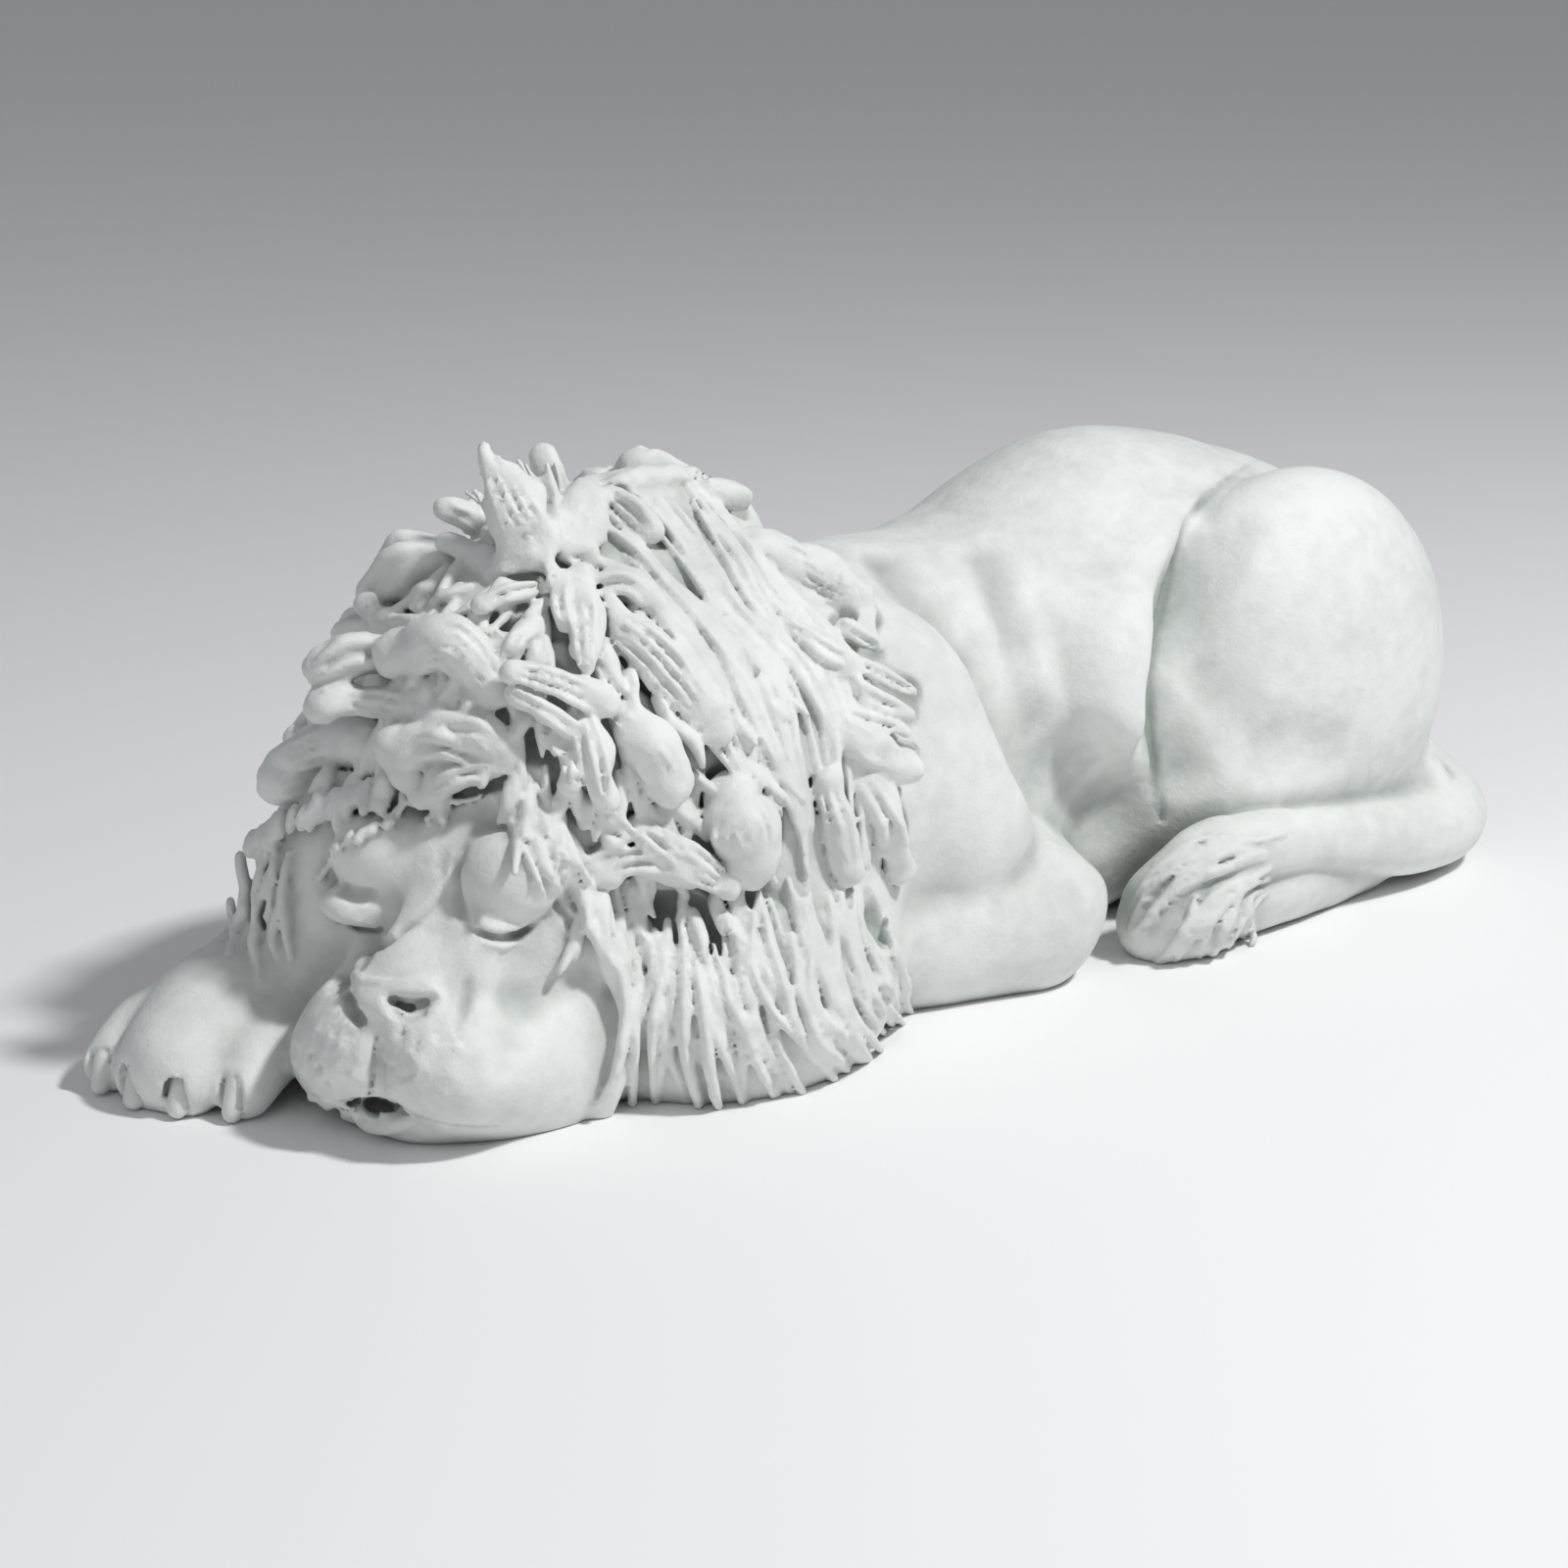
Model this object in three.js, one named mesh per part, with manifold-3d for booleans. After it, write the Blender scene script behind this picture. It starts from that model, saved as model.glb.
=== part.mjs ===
// A sleeping lion, cast in plaster in one piece. It lies on its folded legs with its chin on the ground,
// its head turned a little to its left, its right forepaw beside the muzzle and its tail laid round the
// left haunch with the tuft over the hind paw.
// Millimetres, +Z up, ground at z = 0. The head lies towards -X and the lion's left side towards -Y.
// The body is one skin over rounded forms that run into each other, as a modeller builds it up in clay:
// each form is a distance to its own surface, and where two meet a fillet of a stated width joins them.
import * as THREE from "three";
import { mergeVertices } from "three/addons/utils/BufferGeometryUtils.js";
import Module from "manifold-3d";

// Driving dimensions
const LENGTH = 1235; // overall, from the claws of the right forepaw to the bend of the tail
const MINUTE = LENGTH / 1235; // the figure's own unit, 1235 of them to its length: 1 mm at this size
const HEAD_TURN = 27; // degrees that the head is turned to the lion's left
const MANE_LOCK = 1; // length and width of the mane's locks, as a share of the drawn ones

// The skin's mesh
const CELL = 8 * MINUTE; // spacing of the samples that the skin is drawn through
const FACETS = 9200; // triangles that the skin keeps
const FACE_CARE = 6; // how many times as much a change to the face counts as one elsewhere
const BED = 14 * MINUTE; // how far the forms run on below the ground before they are cut flat

const vec = (x, y, z) => new THREE.Vector3(x, y, z).multiplyScalar(MINUTE);
const lerp = THREE.MathUtils.lerp;

// An even spread of numbers from 0 to 1 that is the same each time: the golden ratio's multiples.
let drawn = 0;
const chance = (low = 0, high = 1) => lerp(low, high, (++drawn * 0.61803398875) % 1);

// Frames: a local point goes to the statue's frame by at + x * ahead + y * left + z * up.
class Frame {
  constructor(at, turn = 0, pitch = 0, roll = 0) {
    const [x, y, z] = [roll, pitch, turn].map((angle) => THREE.MathUtils.degToRad(angle));
    const order = new THREE.Euler(x, y, z, "ZYX");
    this.at = at;
    this.matrix = new THREE.Matrix4().makeRotationFromEuler(order).setPosition(at);
    this.inverse = this.matrix.clone().invert();
  }
  point(x, y, z) {
    return vec(x, y, z).applyMatrix4(this.matrix);
  }
  // A local direction in the statue's frame.
  turned(x, y, z) {
    return new THREE.Vector3(x, y, z).transformDirection(this.matrix);
  }
  // A frame inside this one.
  child(x, y, z, turn = 0, pitch = 0, roll = 0) {
    const inner = new Frame(vec(x, y, z), turn, pitch, roll);
    const outer = new Frame(this.point(x, y, z));
    outer.matrix = this.matrix.clone().multiply(inner.matrix);
    outer.inverse = outer.matrix.clone().invert();
    return outer;
  }
}

// A form is { low, high, distance }: the box that holds it and the distance from a point to its surface,
// negative inside.

// An ellipsoid in a frame.
function egg(frame, radii) {
  const r = radii.map((x) => x * MINUTE);
  const reach = Math.max(...r);
  const e = frame.inverse.elements;
  return {
    low: frame.at.clone().subScalar(reach),
    high: frame.at.clone().addScalar(reach),
    distance(x, y, z) {
      const a = (e[0] * x + e[4] * y + e[8] * z + e[12]) / r[0];
      const b = (e[1] * x + e[5] * y + e[9] * z + e[13]) / r[1];
      const c = (e[2] * x + e[6] * y + e[10] * z + e[14]) / r[2];
      const k = Math.hypot(a, b, c);
      const g = Math.hypot(a / r[0], b / r[1], c / r[2]);
      return g > 0 ? (k * (k - 1)) / g : -Math.min(...r);
    },
  };
}

// An ellipsoid placed in the statue's own frame.
const bulge = (x, y, z, radii, turn = 0, pitch = 0, roll = 0) =>
  egg(new Frame(vec(x, y, z), turn, pitch, roll), radii);

// A round limb: a ball that rolls along a smooth curve through the points while its radius changes.
// flat makes its section an ellipse, flat times as thick along its across direction as it is wide.
function limb(points, radii, flat = 1, across = new THREE.Vector3(0, 0, 1)) {
  const steps = (points.length - 1) * 5;
  const curve = new THREE.CatmullRomCurve3(points, false, "centripetal");
  const p = [];
  const r = [];
  for (let i = 0; i <= steps; i++) {
    const s = (i / steps) * (radii.length - 1);
    const k = Math.min(Math.floor(s), radii.length - 2);
    p.push(curve.getPoint(i / steps));
    r.push(lerp(radii[k], radii[k + 1], s - k) * MINUTE);
  }
  const box = new THREE.Box3().setFromPoints(p).expandByScalar(Math.max(...r));
  const n = across.clone().normalize();
  return {
    low: box.min,
    high: box.max,
    distance(x, y, z) {
      let best = Infinity;
      for (let i = 0; i < steps; i++) {
        const a = p[i];
        const b = p[i + 1];
        const dx = b.x - a.x;
        const dy = b.y - a.y;
        const dz = b.z - a.z;
        let t = ((x - a.x) * dx + (y - a.y) * dy + (z - a.z) * dz) / (dx * dx + dy * dy + dz * dz);
        t = t < 0 ? 0 : t > 1 ? 1 : t;
        const ex = x - a.x - t * dx;
        const ey = y - a.y - t * dy;
        const ez = z - a.z - t * dz;
        let d = ex * ex + ey * ey + ez * ez;
        if (flat !== 1) {
          const h = ex * n.x + ey * n.y + ez * n.z;
          d += h * h * (1 / (flat * flat) - 1);
        }
        d = (Math.sqrt(d) - (r[i] + t * (r[i + 1] - r[i]))) * flat;
        if (d < best) best = d;
      }
      return best;
    },
  };
}

// The clay: a box of samples, each the distance to the skin so far.
class Clay {
  constructor(low, high, cell) {
    this.cell = cell;
    this.low = low;
    this.count = high.clone().sub(low).divideScalar(cell).ceil().addScalar(1).toArray();
    this.values = new Float32Array(this.count[0] * this.count[1] * this.count[2]).fill(1e6);
  }
  // Calls change(value, distance) at each sample that the form, grown by margin, can reach.
  touch(form, margin, change) {
    const from = [0, 1, 2].map((i) => Math.max(0,
      Math.floor((form.low.getComponent(i) - margin - this.low.getComponent(i)) / this.cell)));
    const to = [0, 1, 2].map((i) => Math.min(this.count[i] - 1,
      Math.ceil((form.high.getComponent(i) + margin - this.low.getComponent(i)) / this.cell)));
    for (let k = from[2]; k <= to[2]; k++) {
      for (let j = from[1]; j <= to[1]; j++) {
        for (let i = from[0]; i <= to[0]; i++) {
          const at = (k * this.count[1] + j) * this.count[0] + i;
          this.values[at] = change(this.values[at], form.distance(
            this.low.x + i * this.cell, this.low.y + j * this.cell, this.low.z + k * this.cell));
        }
      }
    }
  }
  // The distance to the skin at any point, from the eight samples round it.
  at(point) {
    const [x, y, z] = point.clone().sub(this.low).divideScalar(this.cell).toArray();
    const i = Math.floor(x);
    const j = Math.floor(y);
    const k = Math.floor(z);
    const value = (a, b, c) => this.values[((k + c) * this.count[1] + j + b) * this.count[0] + i + a];
    const along = (b, c) => lerp(value(0, b, c), value(1, b, c), x - i);
    return lerp(lerp(along(0, 0), along(1, 0), y - j), lerp(along(0, 1), along(1, 1), y - j), z - k);
  }
  copy() {
    const twin = Object.create(this);
    twin.values = this.values.slice();
    return twin;
  }
  // Adds a form, with a fillet of that width where it meets what is there.
  add(form, fillet = 0) {
    const w = Math.max(fillet * MINUTE, 1e-6);
    this.touch(form, 2 * this.cell + w, (a, b) => {
      const h = Math.max(w - Math.abs(a - b), 0) / w;
      return Math.min(a, b) - (h * h * w) / 4;
    });
  }
  // Takes a form away, with its rim rounded over that width.
  carve(form, round = 0) {
    const w = Math.max(round * MINUTE, 1e-6);
    this.touch(form, 2 * this.cell + w, (a, b) => {
      const h = Math.max(w - Math.abs(a + b), 0) / w;
      return Math.max(a, -b) + (h * h * w) / 4;
    });
  }
}

// The torso: chest, ribs and loins along the spine, with the hollow behind the withers.
const SPINE_SIDE = 20; // how far the spine lies to the lion's right of the frame's X axis
function torso(clay) {
  clay.add(bulge(-40, SPINE_SIDE - 6, 165, [200, 138, 160]));
  clay.add(bulge(120, SPINE_SIDE, 175, [200, 134, 148]), 60);
  clay.add(bulge(255, SPINE_SIDE, 205, [185, 130, 176], 0, 4), 60);
  clay.add(bulge(385, SPINE_SIDE, 178, [180, 134, 163], 0, 8), 60);
  clay.add(bulge(172, SPINE_SIDE - 84, 182, [78, 58, 72]), 44);
  clay.add(bulge(150, SPINE_SIDE, 60, [190, 100, 76]), 50);
}

// One hind quarter: the thigh, the shin under it and the foot along the ground. side is -1 on the lion's
// left and 1 on its right.
function hindQuarter(clay, side) {
  const y = (out) => SPINE_SIDE + side * out;
  clay.add(bulge(382, y(98), 166, [162, 94, 183], side * 4, 0, side * -6), 8);
  clay.add(bulge(300, y(112), 112, [84, 60, 100]), 40);
  clay.add(limb([vec(500, y(120), 58), vec(420, y(142), 38), vec(300, y(166), 36), vec(215, y(168), 30)],
    [50, 42, 40, 34]), 20);
}

// One shoulder with its upper arm.
function shoulder(clay, side) {
  const y = (out) => SPINE_SIDE - 8 + side * out;
  clay.add(limb([vec(-150, y(50), 285), vec(-85, y(84), 225), vec(-12, y(100), 140)], [66, 92, 84]), 14);
  clay.add(bulge(-140, y(90), 170, [110, 80, 120]), 40);
}

// The forelegs. The left one lies under the mane and the chin, the right one runs past the head to its paw.
function forelegs(clay) {
  clay.add(limb([vec(56, -106, 60), vec(-20, -90, 60), vec(-150, -64, 60), vec(-290, -70, 52)],
    [76, 72, 64, 52]), 8);
  clay.add(limb([vec(40, 150, 66), vec(-120, 160, 62), vec(-300, 150, 54), vec(-455, 112, 48)],
    [70, 66, 58, 52]), 14);
}

// A paw in a frame that looks along its toes: the back of the paw, four toes and their claws.
function paw(clay, frame) {
  const wrist = frame.point(-20, 0, 50);
  clay.add(limb([wrist, frame.point(50, 0, 42), frame.point(104, 0, 28)], [50, 56, 38], 0.9), 24);
  for (const toe of [-1.5, -0.5, 0.5, 1.5]) {
    const out = toe * 36;
    const back = Math.abs(toe) * 11;
    const knuckle = frame.point(96 - back, out * 0.96, 36);
    const tip = frame.point(130 - back, out * 1.04, 20);
    const claw = [frame.point(140 - back, out * 1.04, 28), frame.point(151 - back, out * 1.04, 8)];
    clay.add(limb([frame.point(40, out * 0.7, 44), knuckle, tip], [25, 25, 20]), 6);
    clay.add(limb(claw, [9, 8]), 3);
  }
}

// The tail comes off the rump, lies on the ground round the haunch and runs forward over the hind paw.
const TAIL_END = [222, -168, 76];
function tail(clay) {
  const round = [vec(530, 40, 205), vec(572, 30, 140), vec(578, -36, 66), vec(548, -118, 40)];
  const forward = [vec(470, -150, 44), vec(380, -160, 58), vec(290, -168, 74), vec(...TAIL_END)];
  clay.add(limb([...round, ...forward], [38, 34, 34, 36, 35, 31, 27, 28]), 7);
}

// The tuft: strands that fall from the tail's end and spread in a fan on the ground before the hind paw.
function tuft(clay) {
  const [x, y, z] = TAIL_END;
  clay.add(limb([vec(x, y, z), vec(x - 36, y + 10, z - 14), vec(x - 44, y + 18, 26)], [28, 36, 34]), 8);
  const strands = 9;
  for (let i = 0; i < strands; i++) {
    const angle = THREE.MathUtils.degToRad(lerp(105, 325, i / (strands - 1)));
    const reach = chance(52, 66);
    const fall = vec(x - 27 + reach * Math.cos(angle), y + 18 + reach * Math.sin(angle), 10);
    const near = 0.62 * reach;
    const bend = vec(x - 20 + near * Math.cos(angle), y + 12 + near * Math.sin(angle), z - 14);
    clay.add(limb([vec(x + 6, y + 2, z + 6), bend, fall], [12, 14, 10]), 3);
  }
}

// The head's frame: x towards the nose, y to the lion's left, z up, origin on the ground under the skull.
const head = new Frame(vec(-382, -46, 0), 180 + HEAD_TURN);
const face = (x, y, z, radii, turn = 0, pitch = 0, roll = 0) =>
  egg(head.child(x, y, z, turn, pitch, roll), radii);
const strip = (points, radii, flat, across) =>
  limb(points.map((p) => head.point(...p)), radii, flat, across);

// The head: skull, jaw, muzzle, brows and nose.
function skull(clay) {
  clay.add(face(-4, 0, 108, [98, 102, 100]), 10);
  clay.add(face(20, 0, 40, [106, 107, 80]), 24);
  clay.add(face(48, 0, 184, [32, 52, 30], 0, 30), 16);
  for (const side of [-1, 1]) {
    // Upper lip with the cheek behind it, then the pad beside the groove of the lip
    clay.add(face(88, side * 36, 58, [74, 54, 52]), 20);
    clay.add(face(128, side * 29, 66, [38, 31, 34]), 10);
    // The brow hangs over the closed eye
    clay.add(face(64, side * 45, 168, [30, 33, 26], side * -20, 14), 9);
    clay.add(face(73, side * 52, 131, [12, 23, 9], side * -18), 10);
  }
  // The bridge of the nose from between the brows down to the nose pad
  const bridge = [[58, 0, 172], [88, 0, 138], [134, 0, 108]];
  clay.add(strip(bridge, [22, 27, 31], 0.72, head.turned(0.5, 0, 0.86)), 7);
  clay.add(face(136, 0, 108, [22, 34, 14], 0, 22), 4);
  clay.add(face(100, 0, 22, [40, 46, 26]), 10);
  // The groove of the lip, the nostrils and the slits of the eyes
  clay.carve(strip([[170, 0, 94], [170, 0, 56]], [5, 6]), 6);
  for (const side of [-1, 1]) {
    clay.carve(face(156, side * 20, 95, [17, 14, 9], 0, 0, side * 20), 4);
    clay.carve(strip([[95, side * 36, 143], [95, side * 53, 138], [82, side * 71, 141]], [5, 6, 5]), 4);
  }
  // The mouth, open a little, with the lower lip curled before it
  clay.carve(face(160, -2, 38, [26, 27, 12]), 6);
  clay.carve(strip([[168, 20, 40], [146, 52, 30], [120, 76, 28]], [8, 6, 4]), 8);
  clay.carve(strip([[168, -20, 40], [146, -52, 30], [120, -76, 28]], [8, 6, 4]), 8);
  clay.add(strip([[132, -24, 28], [145, -12, 15], [146, 8, 15], [132, 22, 27]], [8, 9, 9, 8]), 4);
}

// The mane's mass, before its locks.
const MANE_HEART = vec(-250, -20, 150); // the point that the mane's directions are told from
function maneMass(clay) {
  clay.add(bulge(-250, -15, 232, [165, 142, 166], 0, -8), 20);
  clay.add(bulge(-345, -22, 232, [105, 112, 140]), 40);
  clay.add(bulge(-396, 32, 158, [96, 84, 92]), 30);
  clay.add(bulge(-185, -62, 160, [135, 118, 160]), 40);
  clay.add(bulge(-222, -112, 56, [132, 106, 92]), 36);
  clay.add(bulge(-240, 90, 150, [150, 108, 150]), 40);
  // The crown along the parting
  clay.add(limb([vec(-330, -50, 372), vec(-266, -32, 389), vec(-200, -18, 385), vec(-150, -16, 366)],
    [24, 26, 27, 24]), 30);
  // What hangs beside the right cheek
  clay.add(bulge(-452, 62, 96, [52, 54, 88]), 24);
}

// A point on the skin seen from the mane's heart. around is 0 towards the lion's nose and 90 towards its
// left, up is 90 overhead, both in degrees; lift is how far outside the skin the point lies.
function onMane(clay, around, up, lift = 0) {
  const a = THREE.MathUtils.degToRad(around);
  const b = THREE.MathUtils.degToRad(up);
  const way = new THREE.Vector3(-Math.cos(a) * Math.cos(b), -Math.sin(a) * Math.cos(b), Math.sin(b));
  let reach = 60 * MINUTE;
  while (clay.at(MANE_HEART.clone().addScaledVector(way, reach)) < 0) {
    reach += clay.cell / 3;
  }
  return MANE_HEART.clone().addScaledVector(way, reach + lift * MINUTE);
}

// A row of locks: count of them between the root directions, each with its tip between the tip directions.
// Widths are the radii of a lock at its root, middle and tip; stand is how far its middle and its tip stand
// off the mass.
function row(clay, count, [rootA, rootB], [tipA, tipB], widths, stand, scatter = 4) {
  const mass = clay.copy();
  for (let i = 0; i < count; i++) {
    const t = count > 1 ? i / (count - 1) : 0;
    const between = (a, b) => [0, 1].map((n) => lerp(a[n], b[n], t) + chance(-1, 1) * scatter);
    const root = between(rootA, rootB);
    const tip = between(tipA, tipB);
    const mid = [lerp(root[0], tip[0], 0.5), lerp(root[1], tip[1], 0.5)];
    const size = MANE_LOCK * chance(0.85, 1.15);
    const path = [
      onMane(mass, ...root, 0),
      onMane(mass, ...mid, stand[0] * chance(0.7, 1.3)),
      onMane(mass, ...tip, stand[1] * chance(0.7, 1.3)),
    ];
    clay.add(limb(path, widths.map((w) => w * size)), 4);
  }
}

// The mane's locks, row by row from the parting on the crown outwards.
function maneLocks(clay) {
  // Long strands from the parting down to the left shoulder, and behind them over the withers
  row(clay, 7, [[40, 66], [120, 78]], [[84, 30], [126, 8]], [13, 18, 11], [8, 6]);
  row(clay, 4, [[150, 82], [176, 82]], [[136, 42], [170, 60]], [14, 16, 12], [2, 7]);
  // Tips along the rear rim
  row(clay, 6, [[122, 48], [112, -6]], [[143, 38], [129, -20]], [12, 15, 9], [8, 8]);
  // Thick lobes over the left temple
  row(clay, 3, [[54, 56], [62, 40]], [[34, 50], [38, 34]], [17, 20, 16], [16, 24]);
  row(clay, 4, [[58, 38], [90, 28]], [[62, 18], [96, 6]], [18, 23, 22], [14, 16]);
  row(clay, 3, [[52, 16], [70, 12]], [[64, 2], [92, -2]], [14, 20, 13], [14, 18]);
  // Stubby lobes that point to the front over the brow, row under row
  row(clay, 3, [[24, 60], [-30, 62]], [[8, 54], [-42, 53]], [16, 22, 17], [10, 20], 7);
  row(clay, 4, [[28, 47], [-48, 49]], [[10, 41], [-60, 42]], [19, 25, 18], [10, 20], 7);
  row(clay, 4, [[20, 36], [-56, 38]], [[2, 31], [-68, 31]], [19, 26, 19], [10, 20], 7);
  row(clay, 4, [[2, 24], [-54, 26]], [[-13, 19], [-66, 18]], [17, 24, 18], [10, 22], 5);
  // Locks that hang down beside the right cheek
  row(clay, 3, [[-28, 8], [-46, 6]], [[-31, -14], [-48, -20]], [13, 17, 11], [8, 8], 3);
  // Fringe over the brow and down the left cheek
  row(clay, 6, [[-22, 22], [40, 32]], [[-12, 10], [22, 19]], [10, 12, 8], [8, 8], 2);
  row(clay, 6, [[32, 30], [58, 12]], [[41, 14], [50, -18]], [10, 12, 8], [8, 6], 2);
  // Beard strands that spread to the ground
  row(clay, 8, [[62, -4], [120, -4]], [[66, -42], [124, -38]], [12, 16, 13], [6, 6], 2);
  row(clay, 7, [[68, -20], [116, -22]], [[72, -44], [120, -44]], [9, 14, 12], [12, 10], 3);
  // The lion's right side, laid the same way but plainer
  row(clay, 6, [[-60, 66], [-150, 72]], [[-82, 30], [-140, 22]], [14, 19, 12], [8, 6]);
  row(clay, 5, [[-74, 36], [-128, 30]], [[-84, 4], [-136, -2]], [16, 21, 14], [10, 12]);
  row(clay, 5, [[-60, 4], [-120, 4]], [[-66, -18], [-132, -22]], [14, 19, 12], [10, 10]);
}

// The crest of pointed locks that stands up on the crown in a fan.
function crest(clay) {
  const spikes = 6;
  for (let i = 0; i < spikes; i++) {
    const angle = THREE.MathUtils.degToRad(lerp(82, 6, i / (spikes - 1)));
    const long = chance(84, 100);
    const at = (share, y) =>
      vec(-340 - long * share * Math.cos(angle), y, 346 + long * share * Math.sin(angle));
    clay.add(limb([at(0, -50), at(0.55, -44), at(1, chance(-40, -10))], [22, 18, 9]), 4);
  }
}

// Builds the whole skin as samples.
function sculpt() {
  const clay = new Clay(vec(-660, -290, -40), vec(660, 290, 500), CELL);
  torso(clay);
  for (const side of [-1, 1]) {
    hindQuarter(clay, side);
    shoulder(clay, side);
  }
  forelegs(clay);
  paw(clay, new Frame(vec(-468, 104, 0), 180 + 22));
  tail(clay);
  tuft(clay);
  maneMass(clay);
  skull(clay);
  maneLocks(clay);
  crest(clay);
  // Everything that would reach under the bed is left off.
  clay.carve({ low: clay.low, high: vec(660, 290, 0), distance: (x, y, z) => z + BED }, 0);
  return clay;
}

// Two samples that touch only corner to corner would pinch the skin there, so such gaps are filled.
function fillPinches({ values, count: [nx, ny, nz], cell }) {
  const row = nx;
  const sheet = nx * ny;
  const inside = (at) => values[at] < 0;
  const faces = [[1, row], [row, sheet], [sheet, 1]];
  const fill = (at) => {
    values[at] = -0.05 * cell;
  };
  for (let again = true; again; ) {
    again = false;
    for (let at = 0; at < values.length - sheet - row - 1; at++) {
      for (const [a, b] of faces) {
        const s = [inside(at), inside(at + a), inside(at + b), inside(at + a + b)];
        if (s[0] === s[3] && s[1] === s[2] && s[0] !== s[1]) {
          fill(s[0] ? at + a : at);
          again = true;
        }
      }
      // Opposite corners of the cube, alone in it.
      for (const [a, b] of [[0, 1 + row + sheet], [1, row + sheet], [row, 1 + sheet], [sheet, 1 + row]]) {
        const all = [0, 1, row, sheet, 1 + row, row + sheet, 1 + sheet, 1 + row + sheet];
        const others = all.filter((o) => o !== a && o !== b).map((o) => inside(at + o));
        if (inside(at + a) === inside(at + b) && others.every((o) => o !== inside(at + a))) {
          fill(inside(at + a) ? at + (a === 0 ? 1 : 0) : at + a);
          again = true;
        }
      }
    }
  }
}

// The skin through the samples: one vertex in each cell that it crosses, at the middle of its crossings of
// the cell's edges, and two triangles across each sample edge that it cuts.
function skin(clay) {
  const { values, count: [nx, ny, nz], cell, low } = clay;
  const step = [1, nx, nx * ny];
  const cube = [0, 1, 2, 3, 4, 5, 6, 7];
  const corners = cube.map((c) => (c & 1) + ((c >> 1) & 1) * step[1] + (c >> 2) * step[2]);
  const edges = cube.flatMap((c) => [1, 2, 4].filter((bit) => !(c & bit)).map((bit) => [c, c | bit]));
  const vertexOf = new Int32Array(values.length).fill(-1);
  const positions = [];
  const eachCell = (from, visit) => {
    for (let k = from; k < nz - 1; k++) {
      for (let j = from; j < ny - 1; j++) {
        for (let i = from; i < nx - 1; i++) {
          visit(i * step[0] + j * step[1] + k * step[2], i, j, k);
        }
      }
    }
  };
  eachCell(0, (at, i, j, k) => {
    let x = 0;
    let y = 0;
    let z = 0;
    let n = 0;
    for (const [a, b] of edges) {
      const va = values[at + corners[a]];
      const vb = values[at + corners[b]];
      if (va < 0 !== vb < 0) {
        const t = va / (va - vb);
        x += lerp(a & 1, b & 1, t);
        y += lerp((a >> 1) & 1, (b >> 1) & 1, t);
        z += lerp(a >> 2, b >> 2, t);
        n++;
      }
    }
    if (n) {
      vertexOf[at] = positions.length / 3;
      positions.push(low.x + cell * (i + x / n), low.y + cell * (j + y / n), low.z + cell * (k + z / n));
    }
  });
  const triangles = [];
  eachCell(1, (at) => {
    for (let axis = 0; axis < 3; axis++) {
      const inside = values[at] < 0;
      if (inside !== values[at + step[axis]] < 0) {
        const u = step[(axis + 1) % 3];
        const v = step[(axis + 2) % 3];
        const q = [at - u - v, at - v, at, at - u].map((c) => vertexOf[c]);
        if (!inside) {
          q.reverse();
        }
        triangles.push([q[0], q[1], q[2]], [q[0], q[2], q[3]]);
      }
    }
  });
  return { positions, triangles };
}

// A heap that gives back the entry with the lowest cost first.
class Heap {
  constructor() {
    this.items = [];
  }
  push(item) {
    const a = this.items;
    let i = a.push(item) - 1;
    while (i > 0 && a[(i - 1) >> 1].cost > item.cost) {
      a[i] = a[(i - 1) >> 1];
      i = (i - 1) >> 1;
    }
    a[i] = item;
  }
  pop() {
    const a = this.items;
    const top = a[0];
    const last = a.pop();
    if (!a.length) {
      return top;
    }
    const lower = (i) =>
      2 * i + 2 < a.length && a[2 * i + 2].cost < a[2 * i + 1].cost ? 2 * i + 2 : 2 * i + 1;
    let i = 0;
    while (lower(i) < a.length && a[lower(i)].cost < last.cost) {
      a[i] = a[lower(i)];
      i = lower(i);
    }
    a[i] = last;
    return top;
  }
}

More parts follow.
